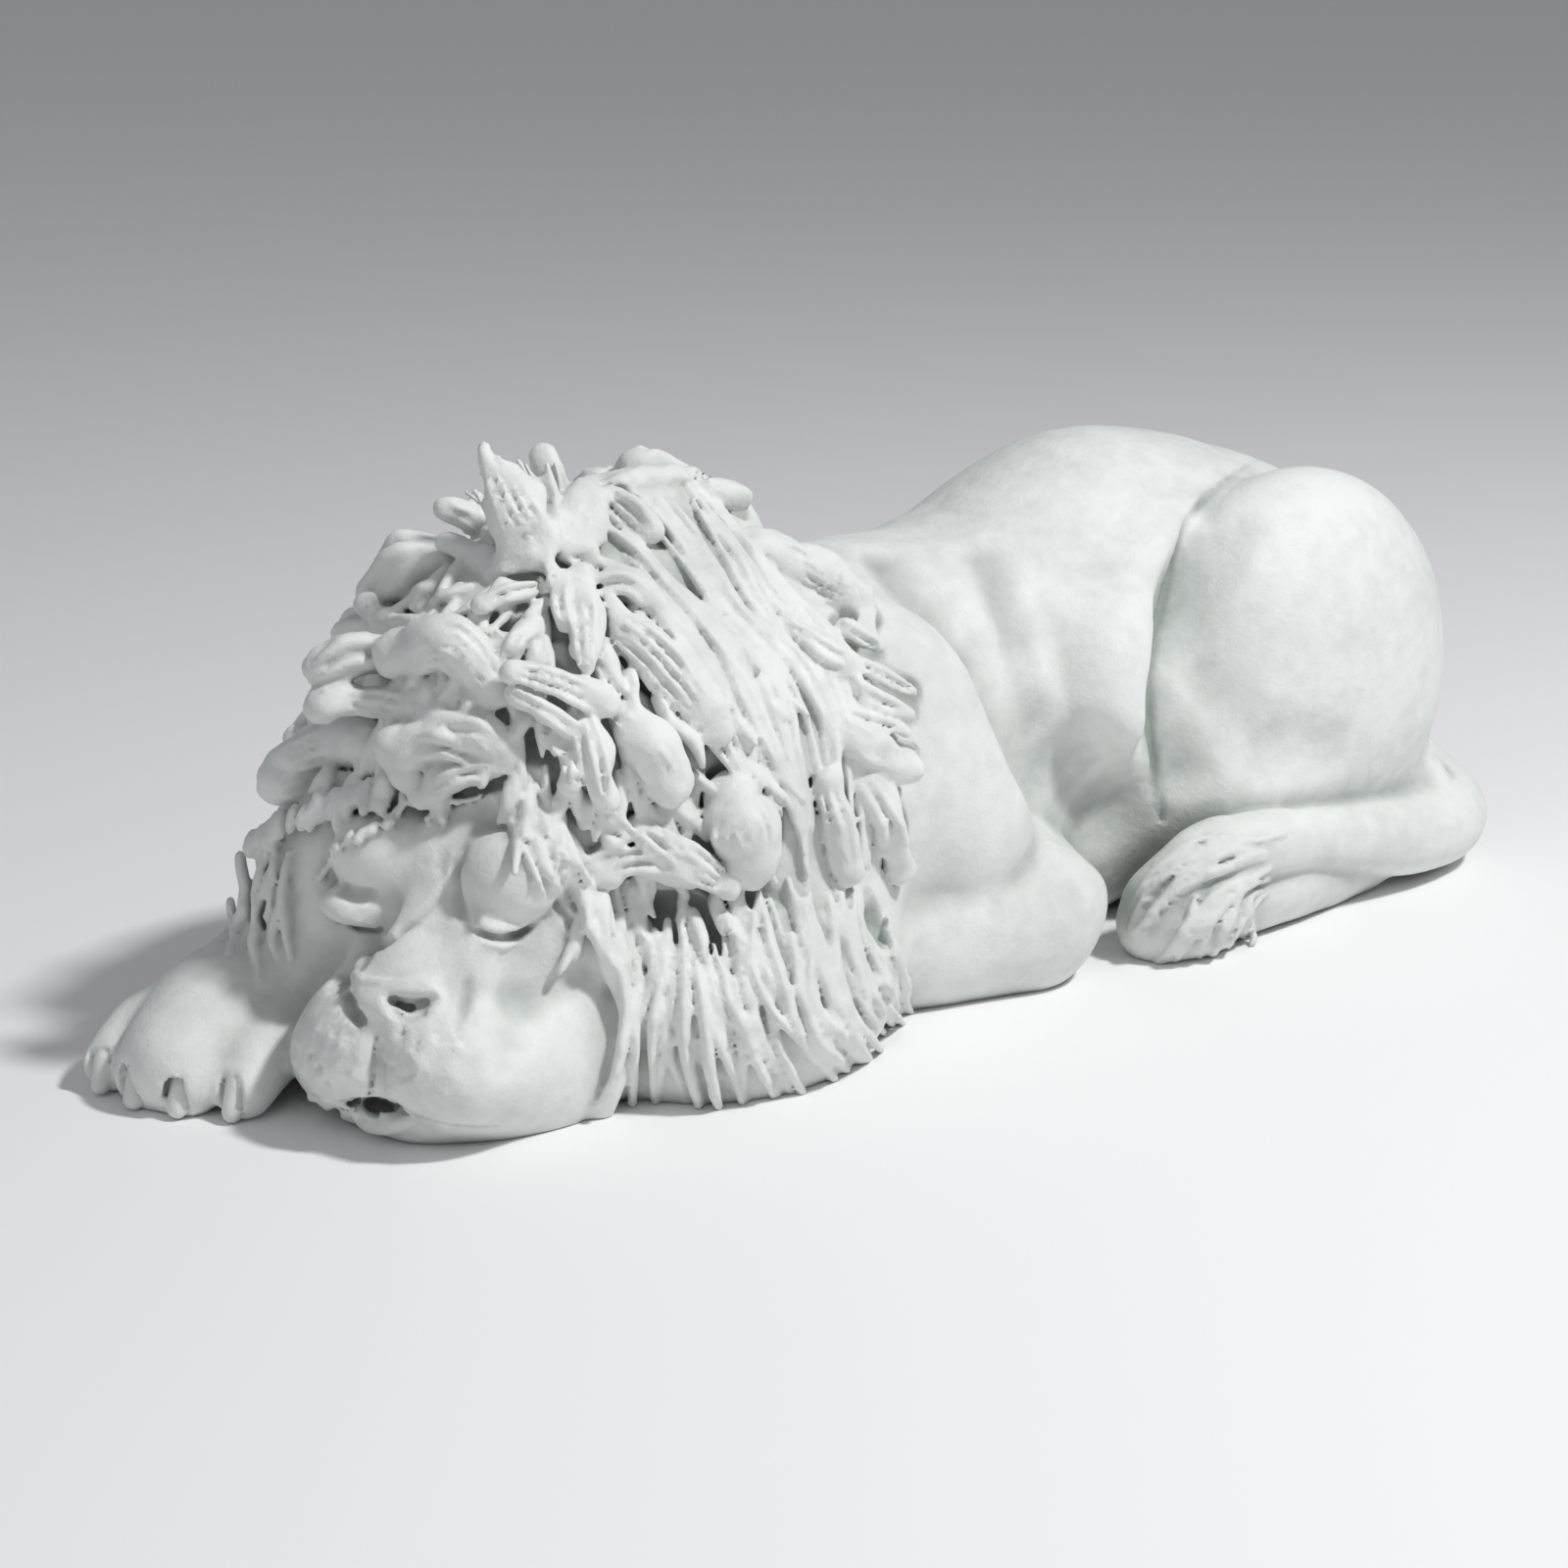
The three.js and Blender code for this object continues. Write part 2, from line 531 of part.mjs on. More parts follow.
// Takes edges out of the skin, the one that changes the shape least first, until it has the wanted count of
// triangles. The cost of an edge is the sum of squared distances from the merged point to the planes of the
// triangles that its two ends have had.
function simplify({ positions, triangles }, wanted, care) {
  const p = Float64Array.from(positions);
  const n = p.length / 3;
  const planes = Array.from({ length: n }, () => new Float64Array(10));
  const round = Array.from({ length: n }, () => new Set());
  const normal = (a, b, c) => {
    const u = [0, 1, 2].map((i) => p[3 * b + i] - p[3 * a + i]);
    const v = [0, 1, 2].map((i) => p[3 * c + i] - p[3 * a + i]);
    return [u[1] * v[2] - u[2] * v[1], u[2] * v[0] - u[0] * v[2], u[0] * v[1] - u[1] * v[0]];
  };
  triangles.forEach((t, f) => {
    const across = normal(...t);
    const size = Math.hypot(...across) || 1e-12;
    const spot = new THREE.Vector3(p[3 * t[0]], p[3 * t[0] + 1], p[3 * t[0] + 2]);
    const [a, b, c] = across.map((value) => value / size);
    const d = -(a * spot.x + b * spot.y + c * spot.z);
    const q = [a * a, a * b, a * c, a * d, b * b, b * c, b * d, c * c, c * d, d * d];
    for (const v of t) {
      round[v].add(f);
      q.forEach((value, i) => {
        planes[v][i] += value * size * care(spot);
      });
    }
  });
  const error = (q, x, y, z) =>
    q[0] * x * x + 2 * q[1] * x * y + 2 * q[2] * x * z + 2 * q[3] * x + q[4] * y * y +
    2 * q[5] * y * z + 2 * q[6] * y + q[7] * z * z + 2 * q[8] * z + q[9];
  const age = new Int32Array(n);
  const heap = new Heap();
  const offer = (a, b) => {
    const q = planes[a].map((value, i) => value + planes[b][i]);
    const mid = [0, 1, 2].map((i) => (p[3 * a + i] + p[3 * b + i]) / 2);
    // The best point, held near the middle of the edge where the planes are almost parallel.
    const hold = 1e-3 * (q[0] + q[4] + q[7]);
    const m = new THREE.Matrix3();
    m.set(q[0] + hold, q[1], q[2], q[1], q[4] + hold, q[5], q[2], q[5], q[7] + hold);
    const best = new THREE.Vector3(hold * mid[0] - q[3], hold * mid[1] - q[6], hold * mid[2] - q[8]);
    best.applyMatrix3(m.invert());
    const span = Math.hypot(p[3 * a] - p[3 * b], p[3 * a + 1] - p[3 * b + 1], p[3 * a + 2] - p[3 * b + 2]);
    if (!(best.distanceTo(new THREE.Vector3(...mid)) < span)) {
      best.set(...mid);
    }
    const cost = error(q, best.x, best.y, best.z) + 1e-4 * span * span * MINUTE * MINUTE;
    heap.push({ cost, a, b, best, stamp: age[a] + age[b] });
  };
  const neighbours = (v) => {
    const found = new Set([...round[v]].flatMap((f) => triangles[f]));
    found.delete(v);
    return found;
  };
  for (const t of triangles) {
    for (const i of [0, 1, 2]) {
      if (t[i] < t[(i + 1) % 3]) {
        offer(t[i], t[(i + 1) % 3]);
      }
    }
  }
  let left = triangles.length;
  while (left > wanted && heap.items.length) {
    const { a, b, best, stamp } = heap.pop();
    if (!round[a].size || !round[b].size || stamp !== age[a] + age[b]) {
      continue;
    }
    const near = neighbours(a);
    const far = neighbours(b);
    const shared = [...near].filter((v) => far.has(v));
    if (!near.has(b) || shared.length !== 2 || shared.some((v) => round[v].size < 4)) {
      continue;
    }
    // No triangle that stays may turn over.
    let turns = false;
    for (const v of [a, b]) {
      for (const f of round[v]) {
        const t = triangles[f];
        if (t.includes(a) && t.includes(b)) {
          continue;
        }
        const before = normal(...t);
        const keep = [p[3 * v], p[3 * v + 1], p[3 * v + 2]];
        [p[3 * v], p[3 * v + 1], p[3 * v + 2]] = best.toArray();
        const after = normal(...t);
        [p[3 * v], p[3 * v + 1], p[3 * v + 2]] = keep;
        const dot = before[0] * after[0] + before[1] * after[1] + before[2] * after[2];
        turns = turns || dot < 0.25 * Math.hypot(...before) * Math.hypot(...after);
      }
    }
    if (turns) {
      continue;
    }
    [p[3 * a], p[3 * a + 1], p[3 * a + 2]] = best.toArray();
    planes[b].forEach((value, i) => {
      planes[a][i] += value;
    });
    for (const f of round[b]) {
      const t = triangles[f];
      if (t.includes(a)) {
        t.filter((v) => v !== b).forEach((v) => round[v].delete(f));
        triangles[f] = null;
        left--;
      } else {
        t[t.indexOf(b)] = a;
        round[a].add(f);
      }
    }
    round[b].clear();
    age[a]++;
    age[b]++;
    for (const v of neighbours(a)) {
      offer(Math.min(a, v), Math.max(a, v));
    }
  }
  const number = new Map();
  const kept = [];
  const faces = [];
  for (const v of triangles.filter((t) => t).flat()) {
    if (!number.has(v)) {
      number.set(v, kept.length / 3);
      kept.push(p[3 * v], p[3 * v + 1], p[3 * v + 2]);
    }
    faces.push(number.get(v));
  }
  return { positions: new Float32Array(kept), faces: new Uint32Array(faces) };
}

// How much a spot's shape counts when triangles are taken out: the face keeps more of them.
const FACE = head.point(105, 0, 95);
const careFor = (spot) => (spot.distanceTo(FACE) < 125 * MINUTE ? FACE_CARE : 1);

// The solid: the skin with everything below the ground cut away, so that it rests on one flat face.
async function cast() {
  const clay = sculpt();
  fillPinches(clay);
  const { positions, faces } = simplify(skin(clay), FACETS, careFor);
  const wasm = await Module();
  wasm.setup();
  const solid = (vertProperties, triVerts) =>
    new wasm.Manifold(new wasm.Mesh({ numProp: 3, vertProperties, triVerts }));
  const ground = new THREE.BoxGeometry(4 * LENGTH, 4 * LENGTH, LENGTH).translate(0, 0, -LENGTH / 2);
  ground.deleteAttribute("normal");
  ground.deleteAttribute("uv");
  const block = mergeVertices(ground);
  const cut = solid(positions, faces).subtract(
    solid(new Float32Array(block.attributes.position.array), new Uint32Array(block.index.array)));
  const whole = cut.decompose().sort((a, b) => b.volume() - a.volume())[0];
  const mesh = whole.getMesh();
  const count = mesh.vertProperties.length / mesh.numProp;
  const out = new Float32Array(count * 3);
  for (let i = 0; i < count; i++) {
    out.set(mesh.vertProperties.subarray(i * mesh.numProp, i * mesh.numProp + 3), 3 * i);
  }
  const geometry = new THREE.BufferGeometry();
  geometry.setAttribute("position", new THREE.BufferAttribute(out, 3));
  geometry.setIndex(new THREE.BufferAttribute(mesh.triVerts, 1));
  geometry.computeVertexNormals();
  return geometry;
}

const plaster = new THREE.MeshStandardMaterial({ color: 0xe6e9e6, roughness: 0.62, metalness: 0 });
const statue = new THREE.Group();
const lion = new THREE.Mesh(await cast(), plaster);
lion.name = "lion";
statue.add(lion);
export default statue;
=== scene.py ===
"""A sleeping lion in white plaster, modelled as one skin over rounded forms and cast in one piece.

Everything is in millimetres until the mesh is made. +Z is up, the ground is z = 0, the head lies towards -X
and the lion's left side towards -Y. The clay is a box of samples, each the distance to the skin; forms are
added to it and carved out of it, and the skin is drawn through its zero level at the end.
"""

import logging
import math
from dataclasses import dataclass, field
from enum import Enum, IntEnum
from typing import Iterator, Protocol, Sequence

import bpy
import numpy as np
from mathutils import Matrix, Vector

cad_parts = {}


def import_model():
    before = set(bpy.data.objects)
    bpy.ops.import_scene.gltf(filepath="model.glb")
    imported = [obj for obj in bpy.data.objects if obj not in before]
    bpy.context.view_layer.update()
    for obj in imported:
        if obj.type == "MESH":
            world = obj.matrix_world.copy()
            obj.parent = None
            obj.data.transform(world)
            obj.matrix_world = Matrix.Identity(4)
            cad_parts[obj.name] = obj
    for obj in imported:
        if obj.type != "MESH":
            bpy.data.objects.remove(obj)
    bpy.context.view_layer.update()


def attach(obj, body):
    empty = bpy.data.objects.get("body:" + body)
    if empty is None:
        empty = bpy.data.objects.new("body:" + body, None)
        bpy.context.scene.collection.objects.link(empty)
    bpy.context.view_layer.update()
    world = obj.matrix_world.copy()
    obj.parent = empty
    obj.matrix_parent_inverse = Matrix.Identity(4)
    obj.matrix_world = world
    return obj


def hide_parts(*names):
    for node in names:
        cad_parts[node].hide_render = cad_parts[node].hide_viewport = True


log = logging.getLogger("lion")

Point = Sequence[float]
Course = tuple[tuple[float, float], ...]
FAR = 60.0  # a distance that counts as far from the skin


class Work(Enum):
    """What a stroke of the tool does."""

    LAY = "lays clay on"
    CUT = "takes clay away"


class Side(IntEnum):
    """A side of the lion, as the sign of its Y."""

    LEFT = -1
    RIGHT = 1


def mix(a: float, b: float, t: float) -> float:
    """Returns the value that lies the share t of the way from a to b."""
    return a + (b - a) * t


def smooth_path(points: Sequence[Point], spacing: float) -> np.ndarray:
    """Runs a Catmull-Rom curve through points.

    On each span the point is 0.5 * (2 b + (c - a) t + (2 a - 5 b + 4 c - d) t^2 + (3 b - a - 3 c + d) t^3),
    where b and c are its ends and a and d their neighbours, the end points being their own neighbours.

    Args:
        points: The places that the curve passes, in order.
        spacing: About how far apart the returned points are.

    Returns:
        The points along the curve, one a row.
    """
    p = np.asarray(points, float)
    p = np.vstack([p[:1], p, p[-1:]])
    spans = []
    for a, b, c, d in zip(p, p[1:], p[2:], p[3:]):
        steps = max(1, math.ceil(float(np.linalg.norm(c - b)) / spacing))
        t = (np.arange(steps) / steps)[:, None]
        spans.append(0.5 * (2 * b + (c - a) * t + (2 * a - 5 * b + 4 * c - d) * t ** 2
                            + (3 * b - a - 3 * c + d) * t ** 3))
    return np.vstack(spans + [p[-1:]])


@dataclass
class Frame:
    """A place with directions of its own.

    Attributes:
        at: Its origin in the statue's frame.
        turn: Degrees about the vertical.
        pitch: Degrees about its own y axis, after the turn.
        roll: Degrees about its own x axis, after both.
        basis: Its three directions, one a column.
    """

    at: Point
    turn: float = 0.0
    pitch: float = 0.0
    roll: float = 0.0
    basis: np.ndarray = field(init=False)

    def __post_init__(self) -> None:
        """Works out the three directions as the columns of a matrix: turn times pitch times roll."""
        t, p, r = (math.radians(v) for v in (self.turn, self.pitch, self.roll))
        about_z = np.array([[math.cos(t), -math.sin(t), 0], [math.sin(t), math.cos(t), 0], [0, 0, 1]])
        about_y = np.array([[math.cos(p), 0, math.sin(p)], [0, 1, 0], [-math.sin(p), 0, math.cos(p)]])
        about_x = np.array([[1, 0, 0], [0, math.cos(r), -math.sin(r)], [0, math.sin(r), math.cos(r)]])
        self.basis = about_z @ about_y @ about_x

    def point(self, p: Point) -> np.ndarray:
        """Returns a local point in the statue's frame."""
        return np.asarray(self.at, float) + self.basis @ np.asarray(p, float)

    def child(self, at: Point, turn: float = 0.0, pitch: float = 0.0, roll: float = 0.0) -> "Frame":
        """Stands a frame inside this one.

        Args:
            at: Its origin in this frame.
            turn: Degrees about this frame's z axis.
            pitch: Degrees about its own y axis, after the turn.
            roll: Degrees about its own x axis, after both.

        Returns:
            The frame, placed in the statue's frame.
        """
        inner = Frame(at, turn, pitch, roll)
        outer = Frame(self.point(at))
        outer.basis = self.basis @ inner.basis
        return outer


class Form(Protocol):
    """Anything that can be added to the clay."""

    def box(self) -> tuple[np.ndarray, np.ndarray]:
        """Returns the lowest and highest corner that hold the form."""

    def distance(self, x: np.ndarray, y: np.ndarray, z: np.ndarray, reach: float) -> np.ndarray:
        """Measures how far samples are from the form's surface.

        Args:
            x: Their places along X, shaped to spread over the other two axes.
            y: Their places along Y.
            z: Their places along Z.
            reach: How far from the surface the distances have to be true.

        Returns:
            The distances, negative inside.
        """


@dataclass
class Egg:
    """An ellipsoid.

    Attributes:
        frame: Its centre and axes.
        radii: Its half lengths along them.
    """

    frame: Frame
    radii: Point

    def box(self) -> tuple[np.ndarray, np.ndarray]:
        """Returns the box of the turned ellipsoid: each half side is the root of summed squares."""
        half = np.sqrt(((self.frame.basis * np.asarray(self.radii, float)) ** 2).sum(1))
        at = np.asarray(self.frame.at, float)
        return at - half, at + half

    def distance(self, x: np.ndarray, y: np.ndarray, z: np.ndarray, reach: float) -> np.ndarray:
        """Returns k (k - 1) / g: k is the length of the point over the radii, g of it over their squares."""
        at = np.asarray(self.frame.at, float)
        k = np.zeros((), np.float32)
        g = np.zeros((), np.float32)
        for axis, radius in enumerate(self.radii):
            u, v, w = self.frame.basis[:, axis]
            local = ((x - at[0]) * np.float32(u) + (y - at[1]) * np.float32(v) + (z - at[2]) * np.float32(w))
            part = local * np.float32(1.0 / radius)
            k = k + part * part
            g = g + (part * np.float32(1.0 / radius)) ** 2
        k = np.sqrt(k)
        return k * (k - 1) / np.maximum(np.sqrt(g), 1e-6)


@dataclass
class Limb:
    """A ball that rolls along a smooth curve while its radius changes.

    Attributes:
        points: The places that the curve passes.
        radii: The radius along it, at even shares of its length.
        flat: Its thickness along the direction across, as a share of its width.
        across: The direction in which it is flatter, or deeper where flat is above 1.
        spacing: How far apart its balls are.
        path: The balls' centres.
        sizes: Their radii.
    """

    points: Sequence[Point]
    radii: Sequence[float]
    flat: float = 1.0
    across: Point = (0.0, 0.0, 1.0)
    spacing: float = 9.0
    path: np.ndarray = field(init=False)
    sizes: np.ndarray = field(init=False)

    def __post_init__(self) -> None:
        """Lays the balls along the curve."""
        self.path = smooth_path(self.points, self.spacing).astype(np.float32)
        share = np.linspace(0, len(self.radii) - 1, len(self.path))
        self.sizes = np.interp(share, np.arange(len(self.radii)), self.radii).astype(np.float32)

    def box(self) -> tuple[np.ndarray, np.ndarray]:
        """Returns the box round all the balls."""
        size = self.sizes[:, None] * max(self.flat, 1.0)
        return (self.path - size).min(0), (self.path + size).max(0)

    def distance(self, x: np.ndarray, y: np.ndarray, z: np.ndarray, reach: float) -> np.ndarray:
        """Returns the least distance to the spans between balls, each a cone with round ends."""
        best = np.full(np.broadcast_shapes(x.shape, y.shape, z.shape), FAR, np.float32)
        grids = (x[:, 0, 0], y[0, :, 0], z[0, 0, :])
        n = np.asarray(self.across, np.float32)
        n = n / np.linalg.norm(n)
        for a, b, ra, rb in zip(self.path, self.path[1:], self.sizes, self.sizes[1:]):
            grow = max(ra, rb) * max(self.flat, 1.0) + reach
            part = tuple(slice(*np.searchsorted(grid, (min(a[i], b[i]) - grow, max(a[i], b[i]) + grow)))
                         for i, grid in enumerate(grids))
            dx, dy, dz = x[part[0]] - a[0], y[:, part[1]] - a[1], z[:, :, part[2]] - a[2]
            way = b - a
            t = np.clip((dx * way[0] + dy * way[1] + dz * way[2]) / max(float(way @ way), 1e-9), 0, 1)
            ex, ey, ez = dx - t * way[0], dy - t * way[1], dz - t * way[2]
            d = ex * ex + ey * ey + ez * ez
            if self.flat != 1.0:
                h = ex * n[0] + ey * n[1] + ez * n[2]
                d = d + h * h * (1 / self.flat ** 2 - 1)
            d = (np.sqrt(d) - (ra + t * (rb - ra))) * min(self.flat, 1.0)
            np.minimum(best[part], d, out=best[part])
        return best


class Clay:
    """A box of samples, each the distance to the skin so far."""

    def __init__(self, axes: Sequence[np.ndarray], values: np.ndarray | None = None) -> None:
        """Starts with nothing in the box.

        Args:
            axes: The places of the samples along X, Y and Z, rising. They need not be evenly spaced.
            values: The distances to start from, or None for an empty box.
        """
        self.axes = [np.asarray(a, np.float32) for a in axes]
        self.values = np.full([len(a) for a in self.axes], FAR, np.float32) if values is None else values

    def _part(self, form: Form, reach: float) -> tuple[slice, ...]:
        """Returns the samples that a form, grown by reach, can touch."""
        low, high = form.box()
        return tuple(slice(*np.searchsorted(axis, (start - reach, end + reach)))
                     for axis, start, end in zip(self.axes, low, high))

    def _distance(self, form: Form, part: tuple[slice, ...], reach: float) -> np.ndarray:
        """Returns the form's distance at the samples of a part."""
        x, y, z = (a[s] for a, s in zip(self.axes, part))
        return form.distance(x[:, None, None], y[None, :, None], z[None, None, :], reach)

    def add(self, form: Form, fillet: float = 2.0) -> None:
        """Adds a form: the lower distance, less h^2 w / 4 where the two differ by less than the fillet w.

        Args:
            form: What is added.
            fillet: Width of the fillet where it meets what is there; h is 1 at the seam and 0 at its ends.
        """
        part = self._part(form, fillet + 7)
        d = self._distance(form, part, fillet + 7)
        v = self.values[part]
        h = np.maximum(1 - np.abs(v - d) / fillet, 0)
        self.values[part] = np.minimum(v, d) - h * h * fillet * 0.25

    def carve(self, form: Form, rim: float = 2.0) -> None:
        """Takes a form away: the higher of the distance and the form's negative, with a rounded rim.

        Args:
            form: What is taken away.
            rim: Width of the rounding where the skin is cut.
        """
        part = self._part(form, rim + 7)
        d = self._distance(form, part, rim + 7)
        v = self.values[part]
        h = np.maximum(1 - np.abs(v + d) / rim, 0)
        self.values[part] = np.maximum(v, -d) + h * h * rim * 0.25

    def at(self, points: np.ndarray) -> np.ndarray:
        """Reads the distances at any points: the eight samples round each, weighed by nearness.

        Args:
            points: The points, along the last axis.

        Returns:
            The distances, one for each point.
        """
        total = np.zeros(points.shape[:-1])
        low, share = [], []
        for i, axis in enumerate(self.axes):
            place = np.clip(np.interp(points[..., i], axis, np.arange(len(axis))), 0, len(axis) - 1.001)
            low.append(place.astype(int))
            share.append(place - low[-1])
        for corner in np.ndindex(2, 2, 2):
            weight = np.prod([s if c else 1 - s for s, c in zip(share, corner)], axis=0)
            total += weight * self.values[tuple(n + c for n, c in zip(low, corner))]
        return total

    def trace(self, starts: np.ndarray, ways: np.ndarray, near: float, far: float) -> np.ndarray:
        """Finds where straight lines first meet the skin.

        Args:
            starts: Where the lines start, one a row.
            ways: Their directions, of length 1.
            near: The distance along them at which the search starts.
            far: The distance at which it ends.

        Returns:
            The distance along each line to the skin, or to the place nearest the skin where it is missed.
        """
        along = np.arange(near, far, 3.0)
        values = self.at(starts[:, None, :] + ways[:, None, :] * along[None, :, None])
        inside = values < 0
        first = np.maximum(inside.argmax(1), 1)
        rows = np.arange(len(values))
        before, after = values[rows, first - 1], values[rows, first]
        crossing = along[first] - 3.0 * after / np.minimum(after - before, -1e-6)
        return np.where(inside.any(1), crossing, along[values.argmin(1)])


@dataclass
class Undulation:
    """Low waves in the skin, as a hand leaves them.

    Attributes:
        rng: Where they come from.
        pitch: About how far apart the waves are.
        height: How high they are.
    """

    rng: np.random.Generator
    pitch: float
    height: float

    def waves(self, clay: Clay) -> Iterator[tuple[int, np.ndarray]]:
        """Yields the waves slice by slice along X, each slice with its number.

        They are a random lattice blended on each axis by cubic B-splines: at a distance of d pitches a knot
        weighs (4 - 6 d^2 + 3 d^3) / 6 where d is below 1, and (2 - d)^3 / 6 from there to 2.

        Args:
            clay: The clay whose samples they are worked out for.
        """
        weights = []
        for a in clay.axes:
            t = (a - a[0]) / self.pitch
            knots = int(t[-1]) + 4
            d = np.abs(t[:, None] + 1 - np.arange(knots)[None, :])
            near = (4 - 6 * d ** 2 + 3 * d ** 3) / 6
            far = np.clip(2 - d, 0, None) ** 3 / 6
            weights.append(np.where(d < 1, near, far).astype(np.float32))
        lattice = self.rng.normal(0, self.height * 2.2, [w.shape[1] for w in weights]).astype(np.float32)
        plane = np.einsum("ai,ijk->ajk", weights[0], lattice)
        plane = np.einsum("bj,ajk->abk", weights[1], plane)
        for n in range(len(plane)):
            yield n, plane[n] @ weights[2].T

    def apply(self, clay: Clay) -> None:
        """Adds the waves to all the distances."""
        for n, wave in self.waves(clay):
            clay.values[n] += wave

    def crumple(self, clay: Clay, share: np.ndarray) -> None:
        """Swells the skin by the waves' height without its sign, so that sharp creases part round lumps.

        Args:
            clay: The clay.
            share: How much of the swelling each sample gets, from 0 to 1.
        """
        for n, wave in self.waves(clay):
            clay.values[n] -= share[n] * (np.abs(wave) - 0.6 * self.height)


@dataclass(frozen=True)
class Sheet:
    """The modeller's drawing of the mane, seen from in front on the lion's left.

    A drawn place is a pair (across, down) on a sheet 1600 units square, and stands for the straight line
    from the eye through it. A lock drawn there lies where its lines meet the mass below it.

    Attributes:
        azimuth: Degrees from the front of the frame to the eye.
        elevation: Degrees that the eye is above the target.
        away: How far it is from the target.
        target: What it looks at.
        units: Units on the sheet for a slope of 1: the lens over its sensor, times the sheet's side.
    """

    azimuth: float = -40.0
    elevation: float = 16.0
    away: float = 2750.0
    target: tuple[float, float, float] = (-100.0, -27.0, 162.0)
    units: float = 85 / 36 * 1600

    def basis(self) -> tuple[np.ndarray, np.ndarray, np.ndarray]:
        """Returns the sheet's right, its up and the direction from the target to the eye."""
        a, e = math.radians(self.azimuth), math.radians(self.elevation)
        back = np.array([math.sin(a) * math.cos(e), -math.cos(a) * math.cos(e), math.sin(e)])
        right = np.array([math.cos(a), math.sin(a), 0.0])
        return right, np.cross(back, right), back

    def eye(self) -> np.ndarray:
        """Returns the place of the eye."""
        return np.asarray(self.target) + self.basis()[2] * self.away

    def lines(self, drawn: Sequence[Sequence[float]]) -> np.ndarray:
        """Turns drawn places into directions.

        Args:
            drawn: Places on the sheet.

        Returns:
            The directions of the lines from the eye through them, one a row.
        """
        right, up, back = self.basis()
        d = (np.asarray(drawn, float) - 800) / self.units
        ways = d[:, :1] * right - d[:, 1:2] * up - back
        return ways / np.linalg.norm(ways, axis=1, keepdims=True)


@dataclass(frozen=True)
class Stroke:
    """One stroke of a round tool over the clay, drawn on the sheet.

    Attributes:
        drawn: Its course.
        radii: The tool's radius along it, in millimetres.
        lift: How far the tool's middle stands off the skin.
        rim: Width of the fillet at its edges.
        work: What it does.
    """

    drawn: Course
    radii: tuple[float, ...]
    lift: float = 0.0
    rim: float = 2.0
    work: Work = Work.CUT

    def apply(self, clay: Clay, sheet: Sheet) -> None:
        """Draws the tool over the skin that is there.

        Args:
            clay: What it works on.
            sheet: What the course is drawn on.
        """
        ways = sheet.lines(smooth_path(self.drawn, 5.0))
        eye = np.broadcast_to(sheet.eye(), ways.shape)
        path = eye + ways * (clay.trace(eye, ways, 2050.0, 3250.0) - self.lift)[:, None]
        tool = Limb(path, self.radii, spacing=5.0)
        if self.work is Work.LAY:
            clay.add(tool, self.rim)
        else:
            clay.carve(tool, self.rim)


# The spine lies a little to the lion's right of the frame's X axis.
SPINE = 20.0


def bulge(x: float, y: float, z: float, radii: Point, pitch: float = 0.0, turn: float = 0.0,
          roll: float = 0.0) -> Egg:
    """Places an ellipsoid in the statue's own frame.

    Args:
        x: Its centre along X.
        y: Its centre along Y.
        z: Its centre along Z.
        radii: Its half lengths.
        pitch: Degrees about its own y axis.
        turn: Degrees about the vertical.
        roll: Degrees about its own x axis.

    Returns:
        The ellipsoid.
    """
    return Egg(Frame((x, y, z), turn, pitch, roll), radii)


@dataclass
class Torso:
    """Chest, ribs and loins along the spine, with the hollow behind the withers.

    Attributes:
        chest: Half lengths of the chest.
        ribs: Half lengths of the ribs' swell.
        loins: Half lengths of the loins.
        rump: Half lengths of the rump.
        flank: Half lengths of the swell in the left flank.
        belly: Half lengths of the belly on the ground.
    """

    chest: Point = (200, 138, 160)
    ribs: Point = (200, 134, 148)
    loins: Point = (185, 130, 176)
    rump: Point = (180, 134, 163)
    flank: Point = (78, 58, 72)
    belly: Point = (190, 100, 76)

    def model(self, clay: Clay) -> None:
        """Adds the trunk's forms and the ribs and flanks that show through the skin."""
        clay.add(bulge(-40, SPINE - 6, 165, self.chest), 2)
        clay.add(bulge(120, SPINE, 175, self.ribs), 60)
        clay.add(bulge(255, SPINE, 205, self.loins, 4), 60)
        clay.add(bulge(385, SPINE, 178, self.rump, 8), 60)
        clay.add(bulge(172, SPINE - 84, 182, self.flank), 44)
        clay.add(bulge(150, SPINE, 60, self.belly), 50)


@dataclass
class HindQuarter:
    """One thigh with the shin under it and the foot along the ground.

    Attributes:
        side: The side that it is on.
        thigh: Half lengths of the thigh.
        knee: Half lengths of the knee below it.
        foot: Radii of the foot from the hock to the toes.
    """

    side: Side
    thigh: Point = (162, 94, 183)
    knee: Point = (84, 60, 100)
    foot: Sequence[float] = (50, 42, 40, 34)

    def model(self, clay: Clay) -> None:
        """Adds the thigh with a sharp crease to the flank, and the foot."""
        s = self.side
        clay.add(bulge(382, SPINE + s * 98, 166, self.thigh, 0, s * 4, s * -6), 8)
        clay.add(bulge(300, SPINE + s * 112, 112, self.knee), 40)
        clay.add(Limb([(500, SPINE + s * 120, 58), (420, SPINE + s * 142, 38), (300, SPINE + s * 166, 36),
                       (215, SPINE + s * 168, 30)], self.foot), 20)


